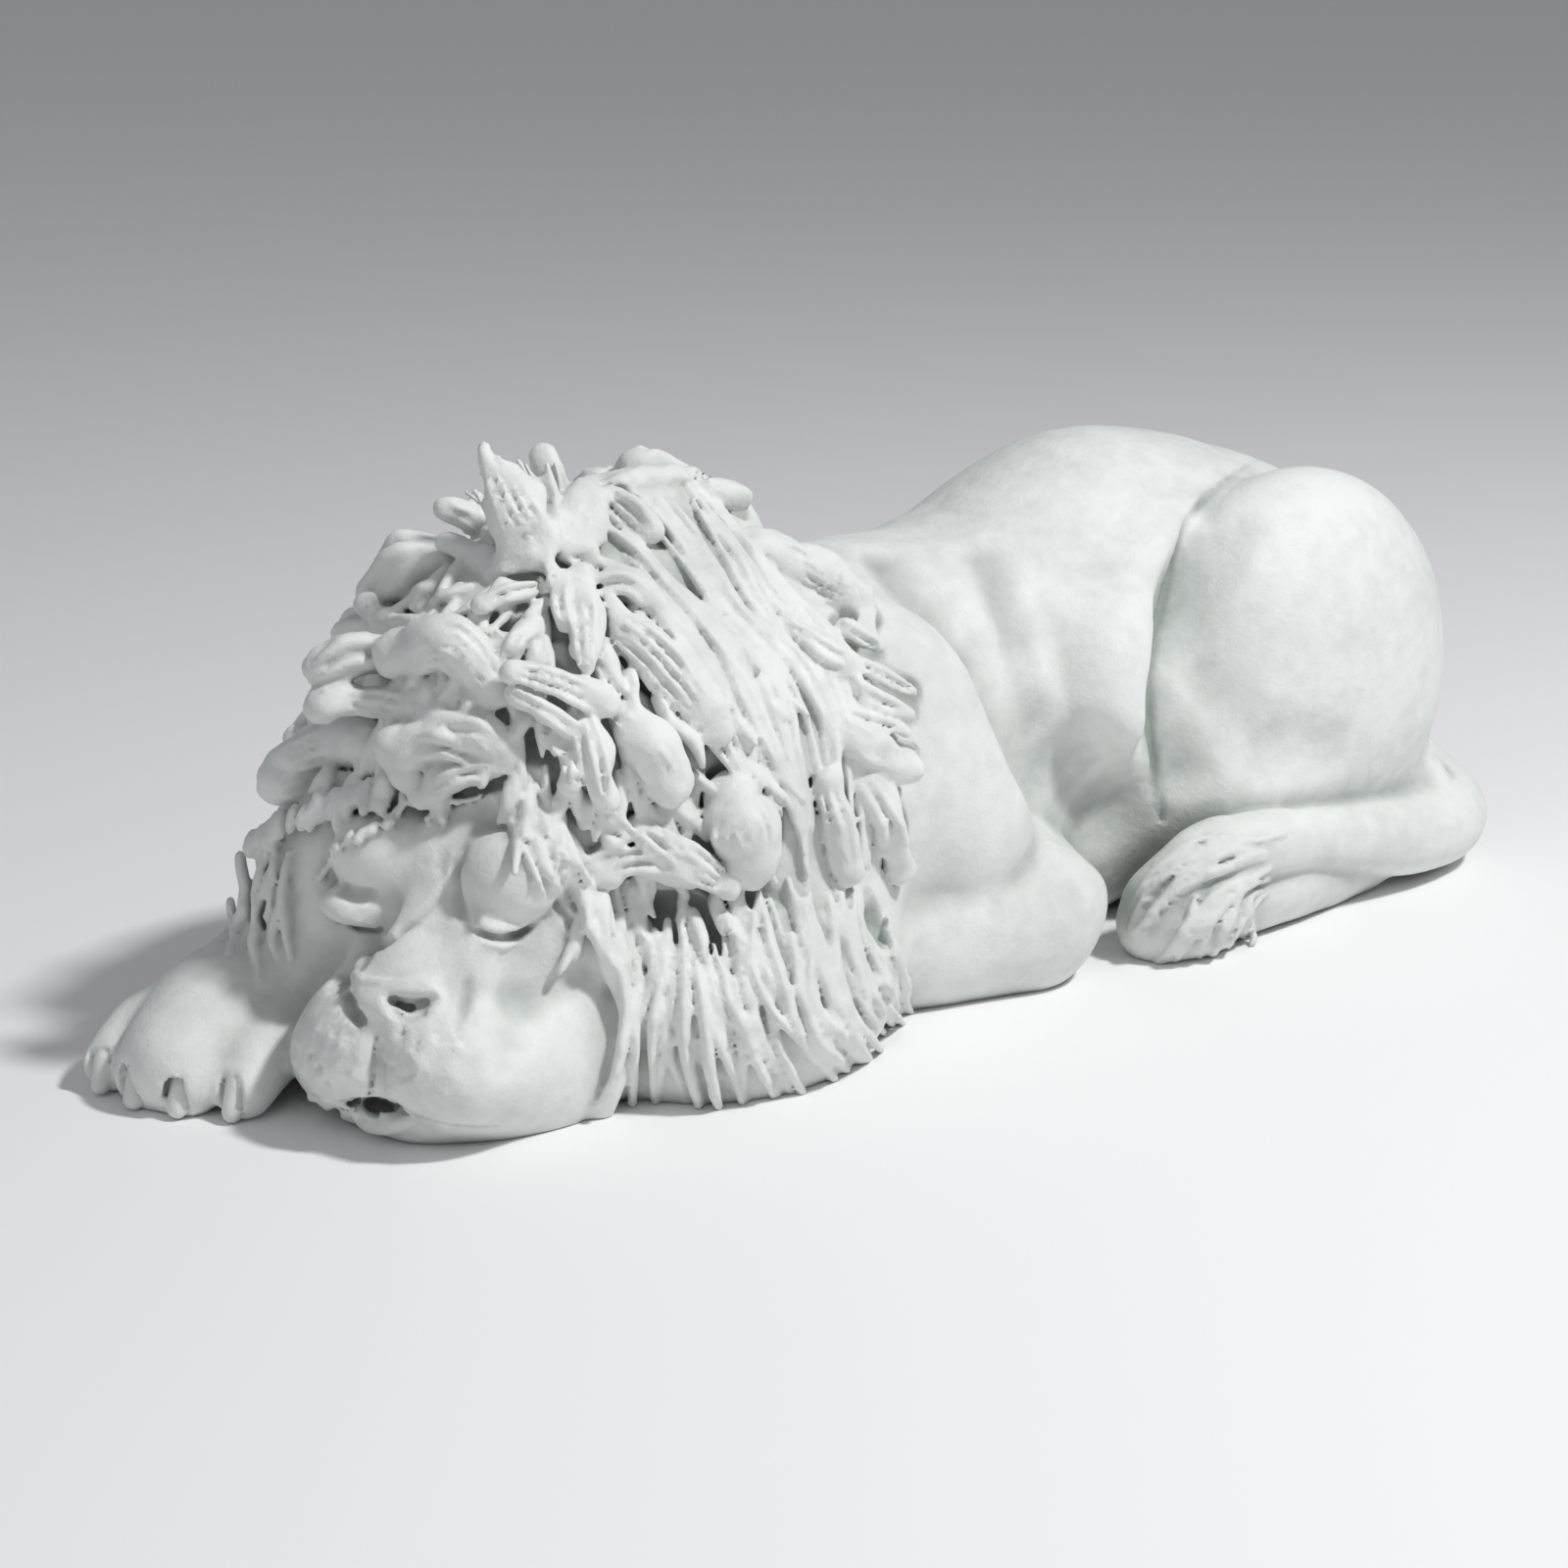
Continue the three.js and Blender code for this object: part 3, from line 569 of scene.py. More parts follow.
@dataclass
class Shoulder:
    """One shoulder with its upper arm.

    Attributes:
        side: The side that it is on.
        slope: Radii of the shoulder blade from the withers to the elbow.
        arm: Half lengths of the upper arm.
    """

    side: Side
    slope: Sequence[float] = (66, 92, 84)
    arm: Point = (110, 80, 120)

    def model(self, clay: Clay) -> None:
        """Adds the shoulder blade's slope and the arm down to the elbow's crease."""
        y = SPINE - 8
        clay.add(Limb([(-150, y + self.side * 50, 285), (-85, y + self.side * 84, 225),
                       (-12, y + self.side * 100, 140)], self.slope), 14)
        clay.add(bulge(-140, y + self.side * 90, 170, self.arm), 40)


@dataclass
class Forelegs:
    """The left forearm under the mane and the chin, and the right one past the head to its paw.

    Attributes:
        left: Radii of the left forearm from the elbow on.
        right: Radii of the right one.
        palm: Radii of the paw's back.
        toes: The toes' places across the paw, in pitches.
        toe_pitch: How far apart the toes are.
    """

    left: Sequence[float] = (76, 72, 64, 52)
    right: Sequence[float] = (70, 66, 58, 52)
    palm: Sequence[float] = (51, 59, 44)
    toes: tuple[float, ...] = (-1.5, -0.5, 0.5, 1.5)
    toe_pitch: float = 36.0

    def model(self, clay: Clay) -> None:
        """Adds both forearms and the paw that shows."""
        clay.add(Limb([(56, -106, 60), (-20, -90, 60), (-150, -64, 60), (-290, -70, 52)], self.left), 8)
        clay.add(Limb([(40, 150, 66), (-120, 160, 62), (-300, 150, 54), (-455, 112, 48)], self.right), 14)
        self.paw(clay, Frame((-468, 104, 0), 180 + 22))

    def paw(self, clay: Clay, frame: Frame) -> None:
        """Adds the back of the paw, its toes with a knuckle each, and the claws in their sheaths.

        Args:
            clay: What they are added to.
            frame: Where the paw is, with x towards the toes.
        """
        back = [frame.point(p) for p in ((-20, 0, 50), (50, 0, 43), (106, 0, 30))]
        clay.add(Limb(back, self.palm, 0.9), 24)
        for toe in self.toes:
            out = toe * self.toe_pitch
            short = abs(toe) * 11
            path = ((40, out * 0.7, 44), (96 - short, out * 0.96, 36), (130 - short, out * 1.04, 20))
            clay.add(Limb([frame.point(p) for p in path], [25, 25, 21]), 9)
            groove = ((144 - short, out * 1.04, 26), (149 - short, out * 1.04, 6))
            claw = ((138 - short, out * 1.04, 27), (145 - short, out * 1.04, 8))
            clay.carve(Limb([frame.point(p) for p in groove], [10, 10]), 2)
            clay.add(Limb([frame.point(p) for p in claw], [8, 7.5]), 1.5)


@dataclass
class Tail:
    """The tail from the rump round the haunch, and the mass of the tuft over the hind paw.

    Attributes:
        radii: Its radii from the rump to its end.
        end: Where the tail ends and the tuft starts.
    """

    radii: Sequence[float] = (38, 34, 34, 36, 35, 31, 27, 28)
    end: tuple[float, float, float] = (222.0, -168.0, 76.0)

    def model(self, clay: Clay) -> None:
        """Adds the tail and the tuft's mass."""
        clay.add(Limb([(530, 40, 205), (572, 30, 140), (578, -36, 66), (548, -118, 40), (470, -150, 44),
                       (380, -160, 58), (290, -168, 74), self.end], self.radii), 6)
        x, y, z = self.end
        clay.add(Limb([(x, y, z), (x - 36, y + 10, z - 14), (x - 44, y + 18, 26)], [28, 34, 34]), 8)
        clay.add(bulge(x - 20, y + 6, 36, (52, 40, 40)), 12)


@dataclass
class Head:
    """Skull, jaw, muzzle, brows and nose, in a frame that looks towards the nose.

    Attributes:
        rng: Where its small differences come from.
        frame: x towards the nose, y to the lion's left, z up, origin on the ground under the skull.
    """

    rng: np.random.Generator
    frame: Frame = field(default_factory=lambda: Frame((-382, -46, 0), 180 + 27))

    def egg(self, x: float, y: float, z: float, radii: Point, turn: float = 0.0, pitch: float = 0.0,
            roll: float = 0.0) -> Egg:
        """Returns an ellipsoid in the head's frame, with its centre, half lengths and turns in degrees."""
        return Egg(self.frame.child((x, y, z), turn, pitch, roll), radii)

    def strip(self, points: Sequence[Point], radii: Sequence[float], flat: float = 1.0,
              across: Point = (0.0, 0.0, 1.0)) -> Limb:
        """Returns a limb in the head's frame, flatter along a direction of that frame."""
        path = [self.frame.point(p) for p in points]
        return Limb(path, radii, flat, self.frame.basis @ np.asarray(across), 5.0)

    def model(self, clay: Clay) -> None:
        """Adds the head from the skull outwards, then works its details with the tool."""
        clay.add(self.egg(-4, 0, 108, (98, 102, 100)), 10)
        clay.add(self.egg(20, 0, 40, (106, 107, 80)), 24)
        clay.add(self.egg(48, 0, 184, (32, 52, 30), 0, 30), 16)
        for s in Side:
            clay.add(self.egg(88, s * 36, 58, (74, 54, 52)), 20)
            clay.add(self.egg(128, s * 29, 66, (38, 31, 34)), 8)
            clay.add(self.egg(135, s * 17 - 1, 64, (30, 18.5, 33)), 4)
        clay.add(self.egg(78, -52, 44, (58, 50, 44)), 20)
        # Left brow, then the right one with the lid that shows under it
        clay.add(self.egg(65, 47, 176, (33, 39, 34), -20, 14), 8)
        clay.add(self.egg(60, -45, 178, (31, 39, 34), 20, 14), 8)
        clay.add(self.egg(76, -60, 147, (19, 27, 14), 18), 5)
        clay.add(self.strip([(70, -1, 194), (77, 0, 168), (95, 2, 136), (116, 1, 120), (131, 0, 109)],
                            [11, 17, 26, 30, 29], 0.5, (0.72, 0, 0.69)), 14)
        clay.add(self.egg(118, -21, 93, (31, 18, 29)), 4)
        clay.add(self.egg(118, 17, 94, (31, 19, 27)), 4)
        clay.add(self.egg(92, 40, 112, (22, 28, 46)), 16)
        clay.add(self.egg(136, 0, 109, (22, 33, 12), 0, 24), 3)
        clay.add(self.egg(100, 0, 22, (40, 46, 26)), 10)
        sheet = Sheet()
        for stroke in FACE:
            stroke.apply(clay, sheet)
        self.stipple(clay, sheet)

    def stipple(self, clay: Clay, sheet: Sheet) -> None:
        """Pits and pimples the upper lip, where the whiskers stand."""
        for low, high, count in (((300, 1050), (372, 1132), 46), ((386, 1050), (476, 1116), 60)):
            for x, y in self.rng.uniform(low, high, (count, 2)):
                size = self.rng.uniform(2.2, 3.4)
                work = Work.LAY if self.rng.random() < 0.7 else Work.CUT
                lift = -size * 0.45 if work is Work.LAY else size * 0.5
                spot = ((x, y), (x + self.rng.uniform(-4, 4), y + self.rng.uniform(-2, 3)))
                Stroke(spot, (size, size), lift, 2.0, work).apply(clay, sheet)


# The tool's work on the face: nose, mouth, eyes and cheeks, from the broad strokes to the fine ones.
FACE = (
    # Hollow of the cheek and the plane under the cheekbone
    Stroke(((548, 1018), (534, 1052), (524, 1084)), (15, 18, 13), 12, 12),
    Stroke(((505, 1014), (540, 1015), (575, 1008), (604, 996)), (12, 15, 14, 10), 10, 10),
    Stroke(((500, 975), (520, 985), (548, 982)), (12, 14, 10), 10, 10),
    # Sides of the nose
    Stroke(((372, 962), (352, 985), (344, 1004)), (10, 12, 9), 6, 6),
    Stroke(((448, 912), (420, 934), (396, 956), (376, 974)), (5, 7, 7, 5), 4, 4),
    Stroke(((463, 884), (465, 914), (474, 940), (484, 952)), (3.5, 4.5, 4, 3), 0.5, 3),
    Stroke(((478, 1004), (475, 1026), (467, 1048)), (4, 5, 3), 2.0, 4),
    # Crisp edge of the bridge, from between the brows to the corner of the nose pad
    Stroke(((456, 890), (436, 922), (404, 954), (376, 978), (360, 991)),
           (2.5, 3.4, 3.4, 3.4, 3), -1.0, 4, Work.LAY),
    # Ledge over the nose pad
    Stroke(((359, 993), (372, 1001), (400, 1004), (428, 1003), (446, 1013)),
           (2.4, 3.8, 3.8, 3.6, 3), -0.8, 2, Work.LAY),
    # Nostrils
    Stroke(((398, 1020), (420, 1022), (441, 1021)), (6, 7.5, 5.5), -1, 1.5),
    Stroke(((401, 1031), (412, 1038), (430, 1031)), (5.5, 6.5, 5.5), 0, 1.5),
    Stroke(((402, 1021), (418, 1027), (434, 1023)), (5, 6.5, 5), -2, 1.5),
    Stroke(((405, 1025), (418, 1030), (430, 1026)), (4.5, 6, 4.5), -3, 1.5),
    Stroke(((358, 1014), (363, 1026), (374, 1044)), (4, 5, 3), -2, 1.5),
    Stroke(((353, 1012), (357, 1027), (368, 1045)), (4, 6, 3.5), -1, 1.5),
    # Foot of the nose between the nostrils, down to the groove of the lip
    Stroke(((386, 1052), (383, 1080), (379, 1114)), (2.6, 3.0, 4), -1.0, 1.5),
    Stroke(((385, 1056), (383, 1080), (379, 1112)), (2.0, 2.4, 3), -1.4, 1.0),
    # Mouth
    Stroke(((352, 1126), (368, 1124), (386, 1124), (404, 1130), (418, 1135)), (4.5, 8, 10, 8, 3.5), -1, 1.5),
    Stroke(((354, 1127), (368, 1126), (386, 1127), (403, 1132), (415, 1135)), (4.5, 8, 10, 8, 3.5), -5, 1.5),
    Stroke(((356, 1127), (368, 1127), (386, 1129), (402, 1133), (412, 1135)), (4.5, 8, 10, 8, 3.5), -6, 1.5),
    Stroke(((362, 1120), (348, 1130), (332, 1143), (312, 1142)), (4, 4.5, 4, 2), 0, 3),
    Stroke(((404, 1122), (424, 1136), (450, 1146), (482, 1151), (508, 1150)), (3.5, 3.5, 3.2, 3, 2), 0.5, 3),
    # Lower lip, curled up at its left end
    Stroke(((368, 1126), (366, 1136), (376, 1147), (396, 1149), (416, 1145)),
           (2.6, 3.6, 4.4, 4.4, 3), 3, 1.5, Work.LAY),
    # Left eye: the rim of the upper lid, the slit and the lower lid
    Stroke(((489, 943), (506, 948), (524, 947), (542, 939)), (2.6, 3.4, 3.4, 2.6), -1.2, 3, Work.LAY),
    Stroke(((495, 962), (512, 966), (530, 962)), (1.8, 2.8, 1.8), -0.2, 2, Work.LAY),
    Stroke(((487, 950), (500, 956), (516, 957), (530, 953), (543, 945)), (2.4, 3.0, 3.2, 2.8, 2.2), -1.5, 1),
    Stroke(((492, 952), (504, 956), (516, 957), (528, 953), (538, 948)), (2.0, 2.4, 2.6, 2.4, 2.0), -1.5, 1),
    # Right eye
    Stroke(((346, 934), (366, 938), (390, 943)), (3, 4.2, 3), -1.4, 3, Work.LAY),
    Stroke(((345, 940), (358, 945), (374, 948), (396, 949)), (2.4, 3.0, 3.2, 2.6), -1.5, 1),
    Stroke(((350, 942), (362, 946), (376, 948), (390, 949)), (2.0, 2.4, 2.6, 2.4), -1.5, 1),
    Stroke(((350, 908), (362, 914), (378, 912)), (5, 6, 4), 2, 4),
    Stroke(((404, 918), (400, 934), (394, 944)), (5, 6, 4), 3, 4),
    # Bed of the fringe beside the left brow
    Stroke(((508, 800), (544, 846), (574, 890), (598, 932), (612, 966)),
           (12, 16, 17, 16, 12), -9, 10, Work.LAY),
    # Clay between the cheek and the beard
    Stroke(((600, 930), (622, 990), (628, 1040), (622, 1090), (610, 1130)),
           (10, 13, 13, 13, 10), -6, 6, Work.LAY),
    # Folds between the brows
    Stroke(((452, 868), (449, 884), (452, 902)), (3, 3.5, 2.5), 1.5, 4),
    Stroke(((470, 862), (468, 876), (466, 890)), (3, 4, 3), 1.5, 4),
)


# The tool's work on the body: the thigh's crease, the fold of the flank and the hollows by the shoulder.
BODY = (
    Stroke(((1096, 640), (1116, 684), (1124, 726)), (26, 34, 26), -27, 24, Work.LAY),
    Stroke(((1190, 540), (1152, 610), (1134, 676), (1132, 726), (1142, 790)),
           (20, 24, 28, 28, 22), -20, 22, Work.LAY),
    Stroke(((1262, 530), (1220, 600), (1205, 672), (1203, 722), (1209, 790)), (21, 28, 33, 34, 32), 21, 14),
    Stroke(((1283, 468), (1222, 518), (1192, 594), (1176, 669), (1173, 722), (1180, 790), (1186, 836)),
           (1.5, 3, 4, 5, 5.5, 6, 4), 0.5, 1.5),
    Stroke(((1032, 690), (1052, 742), (1082, 786), (1118, 812), (1150, 838)), (26, 34, 40, 40, 30), 29, 30),
    Stroke(((1010, 560), (1046, 650), (1060, 740)), (14, 20, 14), 15, 14),
    Stroke(((905, 560), (960, 610), (1000, 668)), (20, 26, 20), 21, 16),
    Stroke(((1240, 700), (1300, 760), (1370, 770)), (22, 32, 22), 28, 20),
)


@dataclass(frozen=True)
class Lock:
    """One lock of the mane, drawn on the sheet.

    Attributes:
        drawn: Its course from root to tip.
        radii: Its half widths along the course, in millimetres.
        lift: How far its root, middle and tip stand off the mass.
        ridges: How many strands run along it, or 0 for as many as its width holds.
        flat: Its thickness as a share of its width.
        moat: How far the hollow round its foot reaches beyond it, in millimetres.
    """

    drawn: Course
    radii: tuple[float, ...]
    lift: tuple[float, float, float] = (2.0, 10.0, 14.0)
    ridges: int = 0
    flat: float = 0.8
    moat: float = 5.0


@dataclass(frozen=True)
class Comb:
    """Strands that lie side by side between two courses on the sheet.

    Attributes:
        first: The course along one edge.
        last: The course along the other.
        count: How many strands lie between them.
        radius: Half the width of a strand, in millimetres.
        lift: How far root, middle and tip stand off the mass.
        uneven: How much the strands differ in height, in millimetres.
        length: The least and greatest share of the course that a strand covers.
        stray: How much of the way between the edges a strand may wander while it runs.
    """

    first: Course
    last: Course
    count: int
    radius: float
    lift: tuple[float, float, float] = (2.0, 5.0, 3.0)
    uneven: float = 3.0
    length: tuple[float, float] = (0.4, 1.0)
    stray: float = 0.5


def combs(courses: Sequence[Course], *settings: float | tuple[float, ...]) -> Iterator[Comb]:
    """Yields a comb between each course and the next one.

    Args:
        courses: The courses, side by side.
        settings: What each comb takes after its two courses, from its count on.
    """
    for first, last in zip(courses, courses[1:]):
        yield Comb(first, last, *settings)


# Courses that the long strands follow, from the parting on the crown down to the left shoulder.
FLOW = (
    ((556, 566), (600, 592), (660, 618), (700, 664), (738, 735), (765, 800)),
    ((579, 553), (639, 563), (679, 606), (722, 665), (755, 718), (782, 765), (800, 820), (806, 880)),
    ((606, 516), (652, 559), (692, 606), (738, 665), (772, 718), (798, 778), (812, 841), (818, 895)),
    ((646, 500), (692, 553), (722, 606), (758, 652), (792, 705), (812, 785), (828, 850), (832, 900)),
    ((672, 486), (709, 520), (732, 569), (758, 619), (798, 659), (835, 720), (850, 800), (860, 890)),
    ((699, 483), (729, 520), (755, 553), (780, 590), (815, 640), (858, 700), (876, 780), (890, 900)),
    ((725, 487), (745, 520), (765, 555), (805, 600), (850, 650), (885, 720), (900, 800), (912, 885)),
)
# Ragged hair down beside the right cheek.
SIDE = (
    ((312, 842), (300, 880), (298, 930), (304, 990)),
    ((284, 848), (268, 890), (262, 940), (270, 1000)),
    ((262, 862), (244, 900), (236, 950), (244, 1004)),
)
# The fringe that falls from the brow down beside the left cheek.
FRINGE = (
    ((496, 800), (518, 838), (540, 880), (558, 926), (584, 962)),
    ((512, 790), (536, 832), (560, 880), (582, 926), (606, 962)),
    ((530, 784), (556, 830), (580, 880), (606, 930), (630, 976)),
    ((548, 780), (576, 830), (602, 880), (630, 934), (644, 996)),
)
# The beard from under the mane's rim to the ground.
BEARD = (
    ((612, 940), (630, 985), (634, 1035), (626, 1085), (612, 1132)),
    ((640, 930), (664, 985), (664, 1040), (656, 1140)),
    ((690, 935), (692, 1000), (682, 1060), (700, 1146)),
    ((699, 940), (714, 990), (728, 1048), (755, 1150)),
    ((722, 945), (738, 1010), (768, 1075), (795, 1150)),
    ((745, 915), (762, 994), (784, 1064), (830, 1142)),
    ((775, 912), (792, 985), (818, 1054), (862, 1128)),
    ((800, 900), (822, 975), (848, 1044), (895, 1110)),
    ((828, 898), (852, 980), (874, 1044), (922, 1092)),
    ((862, 905), (882, 980), (904, 1034), (942, 1078)),
    ((895, 915), (912, 980), (932, 1032), (950, 1062)),
)
# The tuft at the tail's end: over its top to the tip on the ground, and down its near face.
TUFT = (
    ((1310, 848), (1244, 850), (1192, 864), (1156, 894), (1142, 934)),
    ((1304, 862), (1246, 868), (1200, 888), (1164, 926), (1140, 968)),
    ((1298, 878), (1262, 890), (1226, 916), (1196, 952), (1176, 984)),
    ((1292, 892), (1272, 908), (1254, 932), (1236, 958), (1222, 990)),
    ((1288, 904), (1280, 924), (1274, 946), (1268, 966), (1262, 984)),
)
# Deep hollows between the lobes, dug before any strand is laid.
HOLLOWS = (
    Stroke(((516, 712), (545, 742), (578, 764)), (15, 26, 16), 0, 4),
    Stroke(((500, 632), (500, 660), (508, 690)), (9, 14, 9), -2, 4),
    Stroke(((398, 782), (416, 790), (436, 792)), (11, 14, 9), -2, 3),
    Stroke(((646, 925), (690, 942), (740, 952)), (15, 26, 18), 0, 4),
    Stroke(((745, 890), (765, 915), (790, 918)), (8, 12, 8), 2, 4),
    Stroke(((572, 798), (582, 818), (590, 832)), (8, 11, 8), 2, 4),
    Stroke(((630, 778), (620, 800), (640, 822)), (8, 12, 10), 3, 4),
    Stroke(((735, 760), (760, 790), (780, 812)), (8, 10, 7), 2, 4),
    Stroke(((660, 700), (700, 750), (740, 790)), (8, 12, 8), 2, 4),
    Stroke(((815, 640), (845, 648), (866, 646)), (7, 10, 8), 2, 4),
    Stroke(((874, 668), (884, 690)), (8, 9), 2, 3),
    Stroke(((888, 912), (896, 935), (904, 955)), (10, 14, 9), 3, 4),
    Stroke(((748, 990), (760, 1040), (778, 1085)), (5, 7, 5), 1, 3),
    Stroke(((800, 1012), (812, 1040), (826, 1062)), (5, 7, 5), 1, 3),
    Stroke(((268, 868), (262, 910), (258, 950)), (10, 14, 10), 3, 6),
)
# The fan of thin blades that stands on the crown.
CREST = (
    ((536, 580), (500, 548), (470, 530)),
    ((548, 570), (520, 516), (494, 464)),
    ((562, 562), (545, 514), (528, 474)),
    ((574, 558), (568, 512), (560, 472)),
    ((588, 556), (592, 516), (604, 488)),
)
# Single locks and lobes, from the crown down, the nearer ones after those that they cover.
LOCKS = (
    Lock(((524, 590), (480, 566), (452, 556)), (14, 13, 3), (0, 6, 10), 4, 0.6, 0),
    Lock(((596, 545), (610, 514), (625, 495)), (14, 10, 3), (0, 4, 8), 3, 0.6, 0),
    Lock(((530, 576), (500, 536), (486, 506)), (16, 14, 3), (0, 8, 12), 4, 0.6, 0),
    Lock(((580, 556), (592, 518), (608, 484)), (17, 13, 3), (0, 5, 9), 4, 0.6, 0),
    Lock(((566, 562), (562, 512), (556, 466)), (20, 16, 4), (0, 6, 10), 5, 0.55, 0),
    Lock(((550, 568), (520, 510), (493, 457)), (22, 19, 5), (0, 8, 12), 5, 0.55, 0),
    Lock(((596, 512), (636, 494), (684, 487), (722, 492), (750, 506)),
         (7, 9, 10, 9, 7), (-4, -2, -2), 4, 0.8, 0),
    Lock(((720, 498), (752, 510)), (10, 10), (4, 8, 10)),
    Lock(((628, 508), (648, 524), (664, 542)), (8, 11, 9), (4, 8, 10), 2),
    Lock(((765, 556), (820, 582), (872, 612)), (12, 19, 13), (2, 12, 18), 5, 0.6),
    Lock(((850, 600), (884, 618), (880, 646)), (7, 8, 6), (8, 12, 12)),
    Lock(((862, 640), (892, 658)), (8, 8), (8, 12, 14)),
    Lock(((800, 640), (838, 668), (868, 682)), (10, 15, 11), (2, 8, 10), 3),
    Lock(((868, 672), (900, 690), (930, 704)), (8, 9, 7), (4, 12, 14), 2),
    Lock(((872, 700), (900, 718), (928, 728)), (8, 9, 7), (4, 12, 14), 2),
    Lock(((868, 728), (895, 738), (920, 744)), (7, 8, 6), (4, 10, 12)),
    Lock(((858, 742), (892, 764), (926, 782)), (10, 14, 11), (4, 12, 14)),
    Lock(((842, 800), (856, 840), (864, 888)), (10, 14, 11), (2, 8, 8), 3),
    Lock(((884, 800), (906, 840), (918, 888)), (10, 15, 10), (2, 8, 8), 2),
    Lock(((604, 600), (640, 596), (662, 614)), (10, 13, 9), (4, 10, 8), 2),
    Lock(((616, 628), (668, 668), (728, 742)), (12, 19, 12), (4, 9, 8), 0, 0.55),
    Lock(((570, 588), (572, 612), (576, 636)), (8, 10, 8), (8, 14, 16), 2),
    Lock(((590, 586), (596, 630), (598, 680)), (9, 13, 9), (8, 14, 18), 3),
    Lock(((548, 600), (515, 606), (492, 622)), (7, 9, 7), (8, 14, 16)),
    Lock(((548, 640), (530, 650), (520, 668)), (7, 9, 7), (8, 14, 16)),
    Lock(((558, 574), (566, 586), (560, 600)), (5, 6, 5), (10, 14, 14)),
    Lock(((618, 722), (572, 698), (522, 686)), (13, 12, 10), (6, 22, 30)),
    Lock(((596, 752), (560, 728), (524, 706)), (10, 9, 8), (6, 18, 26)),
    Lock(((596, 736), (606, 776), (614, 816)), (10, 14, 10), (8, 14, 16), 0),
    Lock(((636, 734), (664, 764), (684, 802)), (12, 20, 16), (4, 12, 16), 0, 0.9),
    Lock(((612, 824), (632, 840), (650, 856)), (5, 8, 5), (4, 8, 8)),
    Lock(((584, 782), (583, 798)), (10, 9), (12, 16, 16)),
    Lock(((748, 816), (758, 850), (764, 884)), (20, 28, 14), (2, 12, 12), 0, 0.9),
    Lock(((604, 890), (660, 868), (704, 880), (742, 904)), (12, 20, 19, 9), (4, 12, 18), 0, 0.8),
    Lock(((650, 846), (676, 862), (704, 892)), (10, 17, 12), (8, 16, 18), 0, 0.8),
    Lock(((495, 540), (476, 528), (456, 518)), (8, 9, 8), (4, 10, 16)),
    Lock(((520, 545), (508, 526), (500, 514)), (7, 8, 6), (6, 14, 20)),
    Lock(((412, 646), (392, 632), (374, 618)), (10, 12, 10), (2, 10, 16)),
    Lock(((500, 700), (464, 658), (404, 668)), (14, 20, 18), (6, 18, 26), 0, 0.9),
    Lock(((500, 650), (516, 672), (512, 690)), (9, 12, 9), (2, 8, 10)),
    Lock(((400, 668), (362, 668), (330, 682)), (13, 16, 14), (2, 14, 20), 2),
    Lock(((448, 728), (388, 716), (328, 716)), (13, 12, 12), (4, 18, 24)),
    Lock(((334, 722), (326, 728)), (9, 9), (14, 18, 22)),
    Lock(((512, 772), (486, 744), (446, 748)), (11, 12, 9), (4, 12, 14), 2),
    Lock(((372, 756), (334, 762), (294, 776)), (16, 17, 14), (4, 16, 22), 0, 0.9),
    Lock(((316, 748), (300, 752)), (11, 11), (6, 12, 14)),
    Lock(((312, 792), (284, 800)), (15, 15), (4, 10, 14)),
    Lock(((494, 776), (450, 760), (408, 764)), (12, 13, 14), (4, 12, 20), 2),
    Lock(((410, 764), (420, 796)), (13, 11), (14, 16, 14)),
    Lock(((504, 784), (464, 794), (432, 814)), (9, 11, 10), (4, 10, 12), 2),
)


